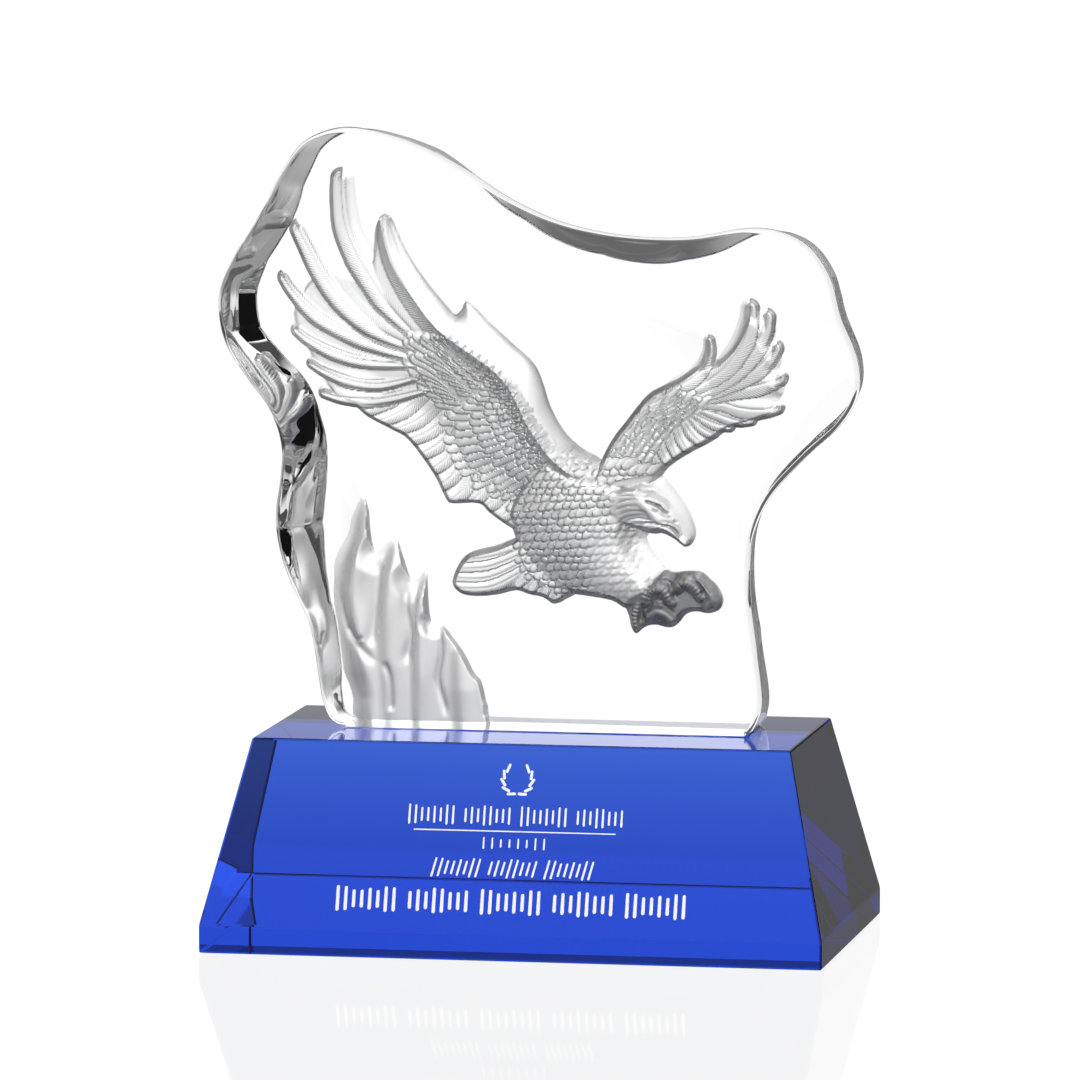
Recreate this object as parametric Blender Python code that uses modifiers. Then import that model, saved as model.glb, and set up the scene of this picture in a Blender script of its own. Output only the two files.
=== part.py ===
"""Eagle award trophy: a clear crystal slab, with an eagle in flight and a frosted crag carved
into its back, standing on a sloping block of blue crystal.

Metres, +X to the viewer's right, +Y to the back, +Z up. The origin is the middle of the
underside. Outlines are drawn in millimetres from the middle of the slab's foot, for a slab
DRAWN_HEIGHT high, and scaled to SLAB_HEIGHT."""

import bpy
import bmesh
import numpy as np
from math import cos, pi, radians, sin

# Blue base, a frustum on a low upright skirt
BASE_WIDTH = 0.180
BASE_DEPTH = 0.110
BASE_TOP_WIDTH = 0.156
BASE_TOP_DEPTH = 0.074
BASE_HEIGHT = 0.060
BASE_SKIRT = 0.008
BASE_EDGE = 0.0006
BASE_EDGE_STEPS = 2
BASE_EDGE_ANGLE = 10

# Clear slab
SLAB_HEIGHT = 0.1732
SLAB_THICKNESS = 0.030
SLAB_SETBACK = 0.004
SLAB_EDGE = 0.0016
SLAB_GAP = 0.0003
WALL_SHARES = (0.5, 1.0)
EDGE_STEPS = 3
OUTLINE_STEPS = 3

# Carving
CARVING_DEPTH = 0.0130
CARVING_CELL = 0.00125
CARVING_FACES = 0.27
CUTTER_BACK = 0.004

# Drawn sizes, in millimetres
MM = 0.001
DRAWN_HEIGHT = 173.2
DRAWN_DEPTH = 13.0
CARVING_WALL = 2.0
FEATHER_WALL = 1.5
TIP_FALL = 0.85
ROOT_FALL = 0.4
RIDGE_DROP = 2.6
LIGHT_SIDE = (0.8, 0.6)
OUTSIDE = -0.6
FIELD_LEFT, FIELD_RIGHT = -84.0, 72.0
FIELD_FOOT, FIELD_TOP = -4.0, 164.0

# Slab outline from its top left peak round to the left: x, z, and how far the back edge is set in
OUTLINE = [
    (-57.0, 173.2, 2.5), (-68.1, 169.1, 3.5), (-75.0, 160.2, 5.0), (-80.6, 149.2, 6.4),
    (-88.3, 136.9, 7.0), (-93.0, 126.9, 7.2), (-93.5, 118.0, 7.4), (-91.1, 109.3, 7.6),
    (-84.9, 99.8, 8.5), (-78.7, 91.4, 9.5), (-75.4, 81.6, 9.5), (-75.6, 72.0, 10.0),
    (-77.0, 61.3, 10.5), (-76.3, 53.0, 10.0), (-73.7, 44.0, 8.0), (-69.9, 35.5, 5.5),
    (-66.7, 27.5, 4.0), (-64.6, 15.0, 3.4), (-63.2, 7.0, 2.4), (-60.6, 1.8, 1.0), (-56.0, 0.0, 0.0),
    (-46.0, 0.0, 0.0), (0.0, 0.0, 0.0), (52.0, 0.0, 0.0), (60.2, 0.0, 0.0), (63.8, 4.0, 1.5),
    (65.2, 11.0, 2.5), (63.6, 25.0, 3.0), (61.6, 42.0, 3.0), (62.4, 57.0, 3.0), (67.6, 69.0, 3.0),
    (78.0, 80.8, 3.0), (88.0, 90.2, 3.0), (92.8, 99.0, 3.0), (92.4, 109.0, 3.0), (87.6, 121.0, 3.0),
    (84.6, 132.0, 3.0), (78.6, 140.8, 3.0), (70.0, 145.2, 3.0), (60.0, 145.9, 3.6),
    (46.1, 143.4, 7.0), (34.0, 142.8, 9.0), (20.0, 144.0, 9.0), (6.0, 147.2, 8.0),
    (-8.0, 153.4, 6.4), (-20.0, 161.0, 4.4), (-32.0, 167.3, 3.0), (-44.6, 171.5, 2.5)]

# Left wing, seen from the front
LEADING_EDGE = [
    (-45.6, 144.0), (-41.8, 135.7), (-36.2, 127.5), (-30.7, 121.0), (-27.7, 118.0), (-25.8, 119.2),
    (-23.8, 121.6), (-17.2, 115.4), (-10.6, 109.5), (-4.4, 104.0), (-1.6, 98.1), (0.5, 91.6),
    (4.1, 85.0), (8.8, 80.4), (14.8, 77.0)]
TRAILING_EDGE = [
    (-8.5, 55.2), (-16.9, 60.4), (-20.6, 63.5), (-28.0, 63.3), (-30.1, 64.7), (-33.5, 71.5),
    (-40.8, 81.2), (-45.9, 84.2), (-52.9, 87.8), (-57.3, 91.4)]
TIP_NOTCHES = [
    (-62.5, 93.4), (-66.3, 99.6), (-70.6, 107.4), (-75.0, 117.6), (-70.6, 126.6), (-62.2, 132.4),
    (-53.0, 131.5), (-51.0, 142.5), (-48.5, 146.4)]
ARM_RIDGE = [
    (-49.6, 145.0), (-47.8, 138.0), (-44.8, 130.5), (-39.0, 122.0), (-33.0, 114.8), (-23.8, 107.9),
    (-16.9, 103.3), (-11.3, 97.9), (-7.9, 91.8), (-4.4, 85.0), (0.5, 78.3), (6.0, 73.5)]
ARM_HEIGHTS = [3.0, 3.4, 4.2, 5.2, 6.4, 7.2, 7.6, 8.0, 8.4, 8.8, 9.4, 10.0]
VANE_HEIGHT = 2.6

# Flight feathers: centre line from the tip to the root, and half widths along it
LEFT_FEATHERS = [
    ([(-65.4, 95.2), (-59.9, 93.8), (-52.3, 93.4), (-44.6, 94.6), (-35.6, 96.8)], (2.2, 2.9, 3.0, 2.4)),
    ([(-69.2, 103.7), (-64.8, 101.4), (-57.1, 98.8), (-48.8, 98.2), (-39.1, 100.1)],
     (2.0, 3.0, 3.0, 2.4)),
    ([(-73.4, 113.2), (-69.7, 110.6), (-62.7, 107.3), (-54.3, 105.0), (-39.7, 103.9)],
     (2.4, 3.3, 3.2, 2.4)),
    ([(-77.3, 128.0), (-74.5, 124.2), (-68.2, 118.1), (-59.9, 113.5), (-50.2, 109.5), (-40.4, 106.3)],
     (2.4, 3.6, 3.8, 2.6)),
    ([(-72.9, 142.0), (-70.8, 137.9), (-67.2, 131.2), (-62.0, 123.7), (-55.0, 117.0), (-47.4, 112.3),
      (-40.1, 109.0)], (3.2, 3.9, 4.2, 3.9, 2.6)),
    ([(-60.6, 156.4), (-60.5, 151.8), (-59.4, 142.9), (-56.4, 135.4), (-51.9, 128.0), (-46.7, 120.5),
      (-40.4, 113.8)], (3.6, 4.3, 4.7, 4.4, 2.8))]
RIGHT_FEATHERS = [
    ([(31.4, 76.2), (30.4, 79.5), (30.6, 82.5)], (1.5, 1.7, 1.2)),
    ([(33.9, 77.2), (32.8, 80.0), (32.6, 83.0)], (1.5, 1.7, 1.2)),
    ([(36.8, 78.8), (35.6, 81.6), (35.0, 84.5)], (1.5, 1.8, 1.2)),
    ([(39.9, 80.6), (38.2, 83.4), (37.2, 86.5)], (1.6, 1.9, 1.2)),
    ([(43.6, 82.8), (41.2, 85.2), (39.2, 88.4)], (1.7, 2.0, 1.3)),
    ([(47.4, 85.1), (44.6, 86.5), (41.4, 89.6)], (1.8, 2.1, 1.4)),
    ([(52.0, 87.2), (48.6, 87.8), (45.0, 89.3), (41.8, 91.0)], (1.9, 2.2, 1.9, 1.3)),
    ([(58.2, 89.2), (54.6, 89.0), (49.8, 90.4), (42.2, 92.8)], (2.0, 2.3, 2.0, 1.3)),
    ([(65.6, 93.0), (61.7, 92.3), (55.4, 92.6), (49.8, 93.9), (41.0, 93.6)], (2.5, 3.3, 2.9, 2.3, 1.4)),
    ([(66.2, 101.4), (63.6, 100.2), (59.3, 98.9), (53.8, 97.8), (47.8, 96.1), (41.0, 94.0)],
     (2.9, 3.5, 3.2, 2.6, 1.5)),
    ([(64.9, 109.8), (62.5, 106.4), (58.2, 102.8), (52.6, 99.9), (46.6, 96.8), (41.0, 94.4)],
     (2.9, 3.7, 3.4, 2.7, 1.5)),
    ([(62.6, 118.6), (61.6, 114.5), (58.6, 108.9), (54.1, 103.7), (48.6, 99.2), (42.0, 95.0)],
     (2.9, 3.8, 3.6, 2.9, 1.7)),
    ([(58.0, 121.2), (57.6, 117.0), (56.2, 112.0), (53.2, 107.0), (49.0, 102.4), (40.0, 96.6)],
     (2.8, 3.6, 3.6, 3.0, 1.8)),
    ([(46.2, 111.6), (46.2, 108.5), (44.8, 104.6), (41.6, 101.0), (36.0, 97.6), (30.0, 92.0)],
     (1.8, 2.6, 3.0, 2.6, 2.0))]
RIGHT_WING = [
    (15.0, 76.4), (18.2, 82.8), (22.2, 88.1), (26.2, 93.3), (29.8, 96.9), (37.0, 100.6), (43.0, 104.6),
    (49.6, 106.8), (54.4, 112.4), (56.6, 117.6), (58.6, 121.6), (61.6, 120.6), (64.2, 118.2),
    (65.4, 115.2), (65.0, 112.4), (66.8, 109.6), (67.2, 106.4), (66.6, 103.6), (68.2, 100.8),
    (67.8, 97.4), (66.8, 95.4), (67.0, 92.4), (64.0, 90.2), (58.0, 88.0), (51.8, 86.0), (46.6, 82.4),
    (41.0, 79.4), (34.6, 75.0), (31.5, 73.2), (24.0, 70.0)]
RIGHT_ARM = [(14.0, 70.0), (20.0, 80.0), (28.0, 89.0), (38.0, 96.0)]

# Body, head, tail and feet
BODY = [
    (14.8, 77.0), (3.0, 80.0), (-6.0, 72.0), (-12.0, 62.0), (-10.0, 54.0), (-9.7, 48.0), (-6.0, 42.0),
    (0.0, 38.8), (8.9, 37.7), (17.8, 36.2), (22.0, 33.9), (28.0, 34.0), (33.0, 40.0), (34.0, 45.5),
    (31.0, 49.5), (28.4, 54.6), (30.0, 58.0), (34.0, 66.0), (32.5, 73.0)]
BREAST = [(8.0, 74.0), (9.0, 64.0), (12.0, 54.0), (18.0, 46.0), (25.0, 42.0)]
HEAD = [
    (28.8, 56.3), (32.7, 56.3), (35.7, 54.9), (37.8, 53.2), (39.3, 52.3), (41.2, 53.4), (42.4, 56.2),
    (42.0, 59.2), (40.5, 63.3), (38.1, 66.8), (35.1, 70.3), (31.6, 73.4), (24.0, 76.0), (14.0, 72.0),
    (16.0, 60.0)]
NECK = [(12.0, 66.0), (20.0, 68.0), (28.0, 66.0), (35.0, 61.5), (39.5, 56.0)]
TAIL = [
    (-9.1, 54.0), (-15.1, 51.5), (-22.3, 49.5), (-25.9, 46.5), (-28.3, 40.5), (-25.9, 37.3),
    (-21.2, 36.5), (-15.1, 37.2), (-9.7, 38.6), (-6.2, 37.7), (-1.9, 36.9), (1.1, 35.0), (4.6, 36.4),
    (8.0, 40.0), (0.0, 50.0), (-4.0, 56.0)]
TAIL_FEATHERS = [
    ([(-24.2, 47.2), (-16.0, 48.4), (-7.0, 51.4)], (1.6, 1.9, 1.6)),
    ([(-26.4, 44.6), (-17.0, 45.4), (-7.0, 49.6)], (1.7, 2.0, 1.6)),
    ([(-27.2, 41.8), (-17.0, 42.3), (-6.4, 47.4)], (1.7, 2.0, 1.6)),
    ([(-26.6, 39.0), (-16.4, 39.6), (-5.8, 45.2)], (1.8, 2.0, 1.6)),
    ([(-9.0, 40.4), (-5.4, 43.6), (-1.0, 47.2)], (1.5, 1.8, 1.5)),
    ([(-5.2, 38.9), (-2.4, 43.0), (1.0, 47.0)], (1.5, 1.8, 1.6)),
    ([(-1.4, 37.8), (0.6, 42.0), (2.8, 46.6)], (1.5, 1.8, 1.6)),
    ([(2.4, 37.0), (3.4, 41.4), (5.0, 46.0)], (1.6, 1.8, 1.6))]
FEET = [
    (22.0, 36.0), (22.9, 31.6), (23.6, 28.4), (25.0, 26.6), (27.4, 28.5), (30.4, 29.3), (34.6, 28.5),
    (37.2, 29.8), (39.4, 32.5), (42.3, 33.4), (45.9, 32.9), (49.2, 34.2), (50.2, 37.5), (48.6, 41.0),
    (46.5, 43.0), (44.1, 45.1), (39.9, 45.3), (36.3, 44.9), (33.0, 45.5), (28.0, 40.0)]
TOES = [
    ([(28.4, 36.4), (29.2, 38.8), (30.8, 39.9), (32.6, 39.8), (34.0, 38.6), (35.4, 36.4)],
     (2.0, 2.3, 2.3, 2.2, 2.0), (1.6, 2.6, 3.0, 2.6, 1.6)),
    ([(37.0, 40.2), (38.8, 41.9), (41.0, 41.5), (42.8, 40.0), (44.2, 38.0)], (2.0, 2.3, 2.2, 2.0),
     (2.0, 2.8, 2.6, 1.8)),
    ([(41.6, 44.2), (44.6, 42.7), (46.6, 40.2), (47.4, 37.4), (46.0, 35.2)], (1.8, 2.2, 2.4, 2.0),
     (1.6, 2.2, 2.4, 1.6)),
    ([(29.3, 32.2), (31.4, 33.4), (33.6, 32.6), (35.6, 30.8)], (1.8, 2.2, 1.6), (1.8, 2.4, 1.4)),
    ([(26.0, 35.6), (25.1, 33.2), (24.8, 30.8), (25.0, 28.4)], (1.8, 1.8, 1.4), (2.0, 2.0, 1.2))]

# Crag below the wing, and the ridges that run down it
CRAG = [
    (-63.1, 34.6), (-63.1, 40.5), (-62.5, 46.9), (-58.9, 54.0), (-57.5, 59.4), (-54.5, 64.8),
    (-52.7, 60.6), (-52.1, 54.1), (-50.5, 48.8), (-45.0, 52.9), (-42.8, 47.9), (-40.6, 41.4),
    (-38.7, 41.0), (-36.0, 43.7), (-35.5, 39.4), (-35.2, 34.0), (-34.4, 28.8), (-31.7, 28.4),
    (-28.1, 24.5), (-24.9, 19.7), (-22.1, 14.3), (-20.0, 11.7), (-18.6, 6.3), (-17.8, 2.6),
    (-18.5, -3.5), (-55.0, -3.5), (-57.5, 6.0), (-60.2, 14.0), (-61.6, 23.0)]
CRAG_RIDGES = [
    ([(-54.5, 63.0), (-55.0, 50.0), (-58.0, 36.0), (-55.0, 18.0), (-53.0, -2.0)], (3.0, 5.5, 6.0, 6.0, 6.0),
     (1.2, 1.8, 2.0, 1.8, 1.2)),
    ([(-45.2, 51.0), (-46.0, 38.0), (-46.0, 24.0), (-45.0, -2.0)],
     (2.5, 5.0, 5.5, 6.0), (1.0, 1.7, 1.8, 1.2)),
    ([(-36.2, 42.4), (-37.0, 34.0), (-37.0, 18.0), (-37.0, -2.0)],
     (1.6, 3.5, 4.5, 5.0), (0.8, 1.5, 1.8, 1.2)),
    ([(-26.0, 20.0), (-25.0, 10.0), (-24.0, -2.0)], (3.5, 5.0, 5.0), (0.8, 1.5, 1.2))]

# Each set of feathers, its height at the tips and at the roots, and which side is its upper one
FEATHERS = [(LEFT_FEATHERS, (3.4, 5.4, 1)), (RIGHT_FEATHERS, (3.2, 4.8, -1)), (TAIL_FEATHERS, (3.6, 5.4, 1))]

GLASS = {
    "clear crystal": ((0.93, 0.95, 0.96, 1.0), 0.02),
    "blue crystal": ((0.03, 0.09, 0.55, 1.0), 0.03)}


def clear_scene():
    for thing in list(bpy.data.objects):
        bpy.data.objects.remove(thing, do_unlink=True)


def spline(points, steps=6, closed=False):
    """A smooth curve through drawn points."""
    p = np.array(points, float)
    if closed:
        p = np.vstack([p[-1], p, p[0], p[1]])
    else:
        p = np.vstack([2 * p[0] - p[1], p, 2 * p[-1] - p[-2]])
    t = np.linspace(0, 1, steps, endpoint=False)[:, None]
    parts = []
    for a, b, c, d in zip(p[:-3], p[1:-2], p[2:-1], p[3:]):
        bend = 2 * a - 5 * b + 4 * c - d
        twist = 3 * b - a - 3 * c + d
        parts.append(0.5 * (2 * b + (c - a) * t + bend * t ** 2 + twist * t ** 3))
    if not closed:
        parts.append(p[-2][None])
    return np.vstack(parts)


def nearest(x, z, path):
    """Distance to a path, the side it is seen from (+ on its left) and the share of its length there."""
    lengths = np.hypot(*np.diff(path, axis=0).T)
    shares = np.concatenate([[0], np.cumsum(lengths)]) / lengths.sum()
    distance = np.full(x.shape, np.inf)
    side = np.ones(x.shape)
    share = np.zeros(x.shape)
    for start, end, s0, s1 in zip(path[:-1], path[1:], shares[:-1], shares[1:]):
        run, rise = end - start
        across, up = x - start[0], z - start[1]
        k = np.clip((across * run + up * rise) / (run * run + rise * rise + 1e-12), 0, 1)
        d = np.hypot(across - k * run, up - k * rise)
        closer = d < distance
        distance = np.where(closer, d, distance)
        side = np.where(closer, np.sign(run * up - rise * across), side)
        share = np.where(closer, s0 + k * (s1 - s0), share)
    return distance, side, share


def depth_inside(x, z, points):
    """Distance to a closed outline, counted negative outside it."""
    loop = spline(points, 4, closed=True)
    odd = np.zeros(x.shape, bool)
    for (ax, az), (bx, bz) in zip(loop, np.roll(loop, -1, axis=0)):
        if az != bz:
            odd ^= ((az > z) != (bz > z)) & (x < (bx - ax) * (z - az) / (bz - az) + ax)
    distance = nearest(x, z, np.vstack([loop, loop[:1]]))[0]
    return np.where(odd, distance, -distance)


def spread(share, values):
    """Values given at even steps along a path, read at each share of its length."""
    return np.interp(share, np.linspace(0, 1, len(values)), values)


def ease(t):
    t = np.clip(t, 0, 1)
    return t * t * (3 - 2 * t)


def carve(inside, height, wall=CARVING_WALL):
    """A height that rises over a rounded wall, and runs out just behind the slab past its outline."""
    return np.where(inside > 0, height * np.sqrt(ease(inside / wall)), np.maximum(inside, OUTSIDE))


def carve_lit(inside, height, shaded, lit):
    """A form with a wall of one width on its shaded side, that fades out over another on its lit side."""
    rise, run = np.gradient(inside)
    facing = -(run * LIGHT_SIDE[0] + rise * LIGHT_SIDE[1]) / (np.hypot(run, rise) + 1e-9)
    facing = ease((facing + 0.4) / 1.3)
    wall = shaded + (lit - shaded) * facing
    risen = height * ease(inside / wall) ** (0.5 + 0.35 * facing)
    return np.where(inside > 0, risen, np.maximum(inside, OUTSIDE))


def hump(x, z, points, half_widths, heights, power=1.0):
    """A long rounded form, highest on its centre line."""
    distance, _, share = nearest(x, z, spline(points))
    across = np.clip(distance / spread(share, half_widths), 0, 1)
    return spread(share, heights) * np.cos(pi / 2 * across) ** power


def flight_feather(x, z, points, half_widths, tip, root, upper=1):
    """A vane highest along its lower edge, that falls away to the edge the next feather lies over."""
    distance, side, share = nearest(x, z, spline(points, 4))
    half = spread(share, half_widths)
    across = upper * side * distance / half
    fall = TIP_FALL + (ROOT_FALL - TIP_FALL) * share
    vane = (tip + (root - tip) * share) * (1 - fall * ease((across + 0.5) / 1.5))
    return carve(half - distance, vane, np.where(across > 0, 0.7 * half, FEATHER_WALL))


def left_wing(x, z):
    to_ridge, side, share = nearest(x, z, spline(ARM_RIDGE))
    to_lead = nearest(x, z, spline(LEADING_EDGE))[0]
    to_trail = nearest(x, z, spline(TRAILING_EDGE))[0]
    ridge = spread(share, ARM_HEIGHTS)
    smooth_band = ridge * (to_lead / (to_lead + to_ridge + 1e-6)) ** 0.7
    vanes = VANE_HEIGHT + (ridge - VANE_HEIGHT) * ease(to_trail / (to_trail + to_ridge + 1e-6))
    vanes -= RIDGE_DROP * (1 - np.exp(-to_ridge / 1.6)) * ease(to_trail / 12)
    loop = LEADING_EDGE + [(22.0, 70.0), (15.0, 58.0), (0.0, 55.0)] + TRAILING_EDGE + TIP_NOTCHES
    inside = depth_inside(x, z, loop)
    band = np.where(inside > 0, smooth_band, np.maximum(inside, OUTSIDE))
    return np.where(side > 0, band, carve_lit(inside, vanes, 1.2, 5.0))


def right_wing(x, z):
    inside = depth_inside(x, z, RIGHT_WING)
    arm = 2.8 + hump(x, z, RIGHT_ARM, (15, 13, 11, 9), (6, 4.6, 3.4, 2))
    return carve_lit(inside, arm, 1.5, 5.0)


def body(x, z):
    inside = depth_inside(x, z, BODY)
    breast = 5 + hump(x, z, BREAST, (17, 20, 18, 12, 9), (6, 7, 6.8, 5.5, 4))
    return carve_lit(inside, breast, 1.8, 9.0)


def head(x, z):
    inside = depth_inside(x, z, HEAD)
    crown = 4.5 + hump(x, z, NECK, (14, 14, 13, 9, 5.5), (5, 5, 4.4, 3.4, 2.2))
    return carve_lit(inside, crown, 1.8, 8.0)


def tail(x, z):
    inside = depth_inside(x, z, TAIL)
    return carve_lit(inside, np.full(x.shape, 3.0), 1.4, 2.4)


def feet(x, z):
    form = np.full(x.shape, 3.6)
    for points, half_widths, heights in TOES:
        form = np.maximum(form, 3.6 + hump(x, z, points, half_widths, heights, 0.8))
    inside = depth_inside(x, z, FEET)
    return carve_lit(inside, form, 1.5, 2.8)


def crag(x, z):
    form = np.zeros(x.shape)
    for points, half_widths, heights in CRAG_RIDGES:
        form = np.maximum(form, hump(x, z, points, half_widths, heights))
    inside = depth_inside(x, z, CRAG)
    return carve_lit(inside, 2.4 + form, 4.5, 1.0)


def carving(x, z):
    """How far the carving goes in from the slab's back over a grid, in drawn millimetres."""
    forms = [form(x, z) for form in (left_wing, right_wing, tail, body, head, feet, crag)]
    for feathers, sizes in FEATHERS:
        for points, half_widths in feathers:
            forms.append(flight_feather(x, z, points, half_widths, *sizes))
    return np.max(forms, axis=0)


def new_object(name, bm, collection, material=None):
    mesh = bpy.data.meshes.new(name)
    bm.to_mesh(mesh)
    bm.free()
    thing = bpy.data.objects.new(name, mesh)
    collection.objects.link(thing)
    if material:
        mesh.materials.append(material)
    return thing


def new_collection(name):
    collection = bpy.data.collections.new(name)
    bpy.context.scene.collection.children.link(collection)
    return collection


def glass(name):
    colour, roughness = GLASS[name]
    material = bpy.data.materials.new(name)
    material.use_nodes = True
    shader = material.node_tree.nodes["Principled BSDF"]
    shader.inputs["Base Color"].default_value = colour
    shader.inputs["Roughness"].default_value = roughness
    shader.inputs["Metallic"].default_value = 0.0
    shader.inputs["Transmission Weight"].default_value = 1.0
    return material


def make_base(collection):
    """The upright skirt is a flat box, and its top face is drawn up into the sloping block."""
    bm = bmesh.new()
    bmesh.ops.create_cube(bm, size=1)
    bmesh.ops.translate(bm, verts=bm.verts, vec=(0, 0, 0.5))
    bmesh.ops.scale(bm, verts=bm.verts, vec=(BASE_WIDTH, BASE_DEPTH, BASE_SKIRT))
    lid = max(bm.faces, key=lambda face: face.calc_center_median().z)
    top = bmesh.ops.extrude_discrete_faces(bm, faces=[lid])["faces"][0]
    bmesh.ops.translate(bm, verts=top.verts, vec=(0, 0, BASE_HEIGHT - BASE_SKIRT))
    bmesh.ops.scale(bm, verts=top.verts, vec=(BASE_TOP_WIDTH / BASE_WIDTH, BASE_TOP_DEPTH / BASE_DEPTH, 1))
    base = new_object("base", bm, collection, glass("blue crystal"))
    edge = base.modifiers.new("polished edge", "BEVEL")
    edge.width = BASE_EDGE
    edge.segments = BASE_EDGE_STEPS
    edge.limit_method = "ANGLE"
    edge.angle_limit = radians(BASE_EDGE_ANGLE)
    return base


def drawn_outline():
    """The slab's outline and back insets, in drawn millimetres."""
    drawn = spline(OUTLINE, OUTLINE_STEPS, closed=True)
    drawn[:, 1:] = np.maximum(drawn[:, 1:], 0)
    return drawn


def drawn_middle():
    """The slab stands with its widest points as far to the left as to the right."""
    drawn = drawn_outline()
    return (drawn[:, 0].min() + drawn[:, 0].max()) / 2


def slab_rings(scale):
    """Sections of the slab from the front to the back: a depth and a closed outline for each."""
    drawn = drawn_outline()
    outline = (drawn[:, :2] - (drawn_middle(), 0)) * MM * scale
    inset = drawn[:, 2:] * MM * scale
    tangent = np.roll(outline, -1, axis=0) - np.roll(outline, 1, axis=0)
    inward = np.column_stack([-tangent[:, 1], tangent[:, 0]])
    inward /= np.linalg.norm(inward, axis=1)[:, None]
    inward[drawn[:, 1] == 0] = 0
    rings = []
    for turn in np.linspace(0, pi / 2, EDGE_STEPS + 1):
        rings.append((SLAB_EDGE * (1 - cos(turn)), outline + inward * SLAB_EDGE * (1 - sin(turn))))
    for share in WALL_SHARES:
        rings.append((SLAB_EDGE + (SLAB_THICKNESS - SLAB_EDGE) * share, outline + inward * inset * share))
    return rings


def draw_ring(verts, ring, front, foot):
    depth, outline = ring
    for vert, (x, z) in zip(verts, outline):
        vert.co = (x, front + depth, foot + z)


def make_slab(collection, cutters):
    """Sections joined from front to back and capped, with the carving cut out of the back face."""
    scale = SLAB_HEIGHT / (DRAWN_HEIGHT * MM)
    front = SLAB_SETBACK - SLAB_THICKNESS / 2
    foot = BASE_HEIGHT + SLAB_GAP
    rings = slab_rings(scale)
    bm = bmesh.new()
    ring = bmesh.ops.create_circle(bm, segments=len(rings[0][1]), cap_ends=False)["verts"]
    draw_ring(ring, rings[0], front, foot)
    front_edges = list(bm.edges)
    edges = front_edges
    for section in rings[1:]:
        grown = bmesh.ops.extrude_edge_only(bm, edges=edges)["geom"]
        new_verts = {item for item in grown if isinstance(item, bmesh.types.BMVert)}
        edges = [item for item in grown if isinstance(item, bmesh.types.BMEdge)]
        ring = [next(edge.other_vert(vert) for edge in vert.link_edges if edge.other_vert(vert) in new_verts)
                for vert in ring]
        draw_ring(ring, section, front, foot)
    bmesh.ops.edgeloop_fill(bm, edges=front_edges)
    bmesh.ops.edgeloop_fill(bm, edges=edges)
    bmesh.ops.recalc_face_normals(bm, faces=bm.faces)
    slab = new_object("slab", bm, collection, glass("clear crystal"))
    cut = slab.modifiers.new("carving", "BOOLEAN")
    cut.operation = "DIFFERENCE"
    cut.object = make_carving(cutters, scale, front + SLAB_THICKNESS, foot)
    return slab


def make_carving(collection, scale, back, foot):
    """The cutter: a grid moved in to the carving's depth, without its empty cells, made solid."""
    cell = CARVING_CELL / MM
    columns = round((FIELD_RIGHT - FIELD_LEFT) / cell)
    rows = round((FIELD_TOP - FIELD_FOOT) / cell)
    bm = bmesh.new()
    bmesh.ops.create_grid(bm, x_segments=columns, y_segments=rows, size=0.5)
    across = np.linspace(FIELD_LEFT, FIELD_RIGHT, columns + 1)
    up = np.linspace(FIELD_FOOT, FIELD_TOP, rows + 1)
    depth = carving(*np.meshgrid(across, up))
    empty = set()
    for vert in bm.verts:
        column = round((vert.co.x + 0.5) * columns)
        row = round((vert.co.y + 0.5) * rows)
        into = depth[row, column]
        if into <= OUTSIDE:
            empty.add(vert)
        vert.co = ((across[column] - drawn_middle()) * MM * scale,
                   back - into * CARVING_DEPTH / DRAWN_DEPTH,
                   foot + up[row] * MM * scale)
    empty = [face for face in bm.faces if empty.issuperset(face.verts)]
    bmesh.ops.delete(bm, geom=empty, context="FACES")
    widen_corners(bm)
    grown = bmesh.ops.extrude_face_region(bm, geom=list(bm.faces))["geom"]
    for vert in (item for item in grown if isinstance(item, bmesh.types.BMVert)):
        vert.co.y = back + CUTTER_BACK
    bmesh.ops.recalc_face_normals(bm, faces=bm.faces)
    cutter = new_object("carving cutter", bm, collection)
    cutter.hide_render = True
    cutter.display_type = "WIRE"
    thin = cutter.modifiers.new("fewer faces", "DECIMATE")
    thin.ratio = CARVING_FACES
    return cutter


def widen_corners(bm):
    """Cells that meet only at a corner would pinch the solid, so one of each such pair goes."""
    pinched = True
    while pinched:
        pinched = [vert for vert in bm.verts if len([e for e in vert.link_edges if e.is_boundary]) > 2]
        cells = list(dict.fromkeys(vert.link_faces[0] for vert in pinched))
        bmesh.ops.delete(bm, geom=cells, context="FACES")


def main():
    clear_scene()
    trophy = new_collection("eagle award trophy")
    cutters = new_collection("cutters")
    make_base(trophy)
    make_slab(trophy, cutters)


main()
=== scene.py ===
"""Eagle award trophy: a clear crystal slab with an eagle in flight and a frosted crag carved into
its back, on a sloping block of blue crystal with silver strokes on its face, in a white studio.

Metres, +X to the viewer's right, +Y to the back, +Z up. The carving is drawn in millimetres from the
middle of the slab's foot, for a slab DRAWN_HEIGHT high, and scaled to the slab of the frame."""

import bmesh
import bpy
import numpy as np
from functools import partial
from math import cos, pi, radians, sin
from mathutils import Matrix, Vector


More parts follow.
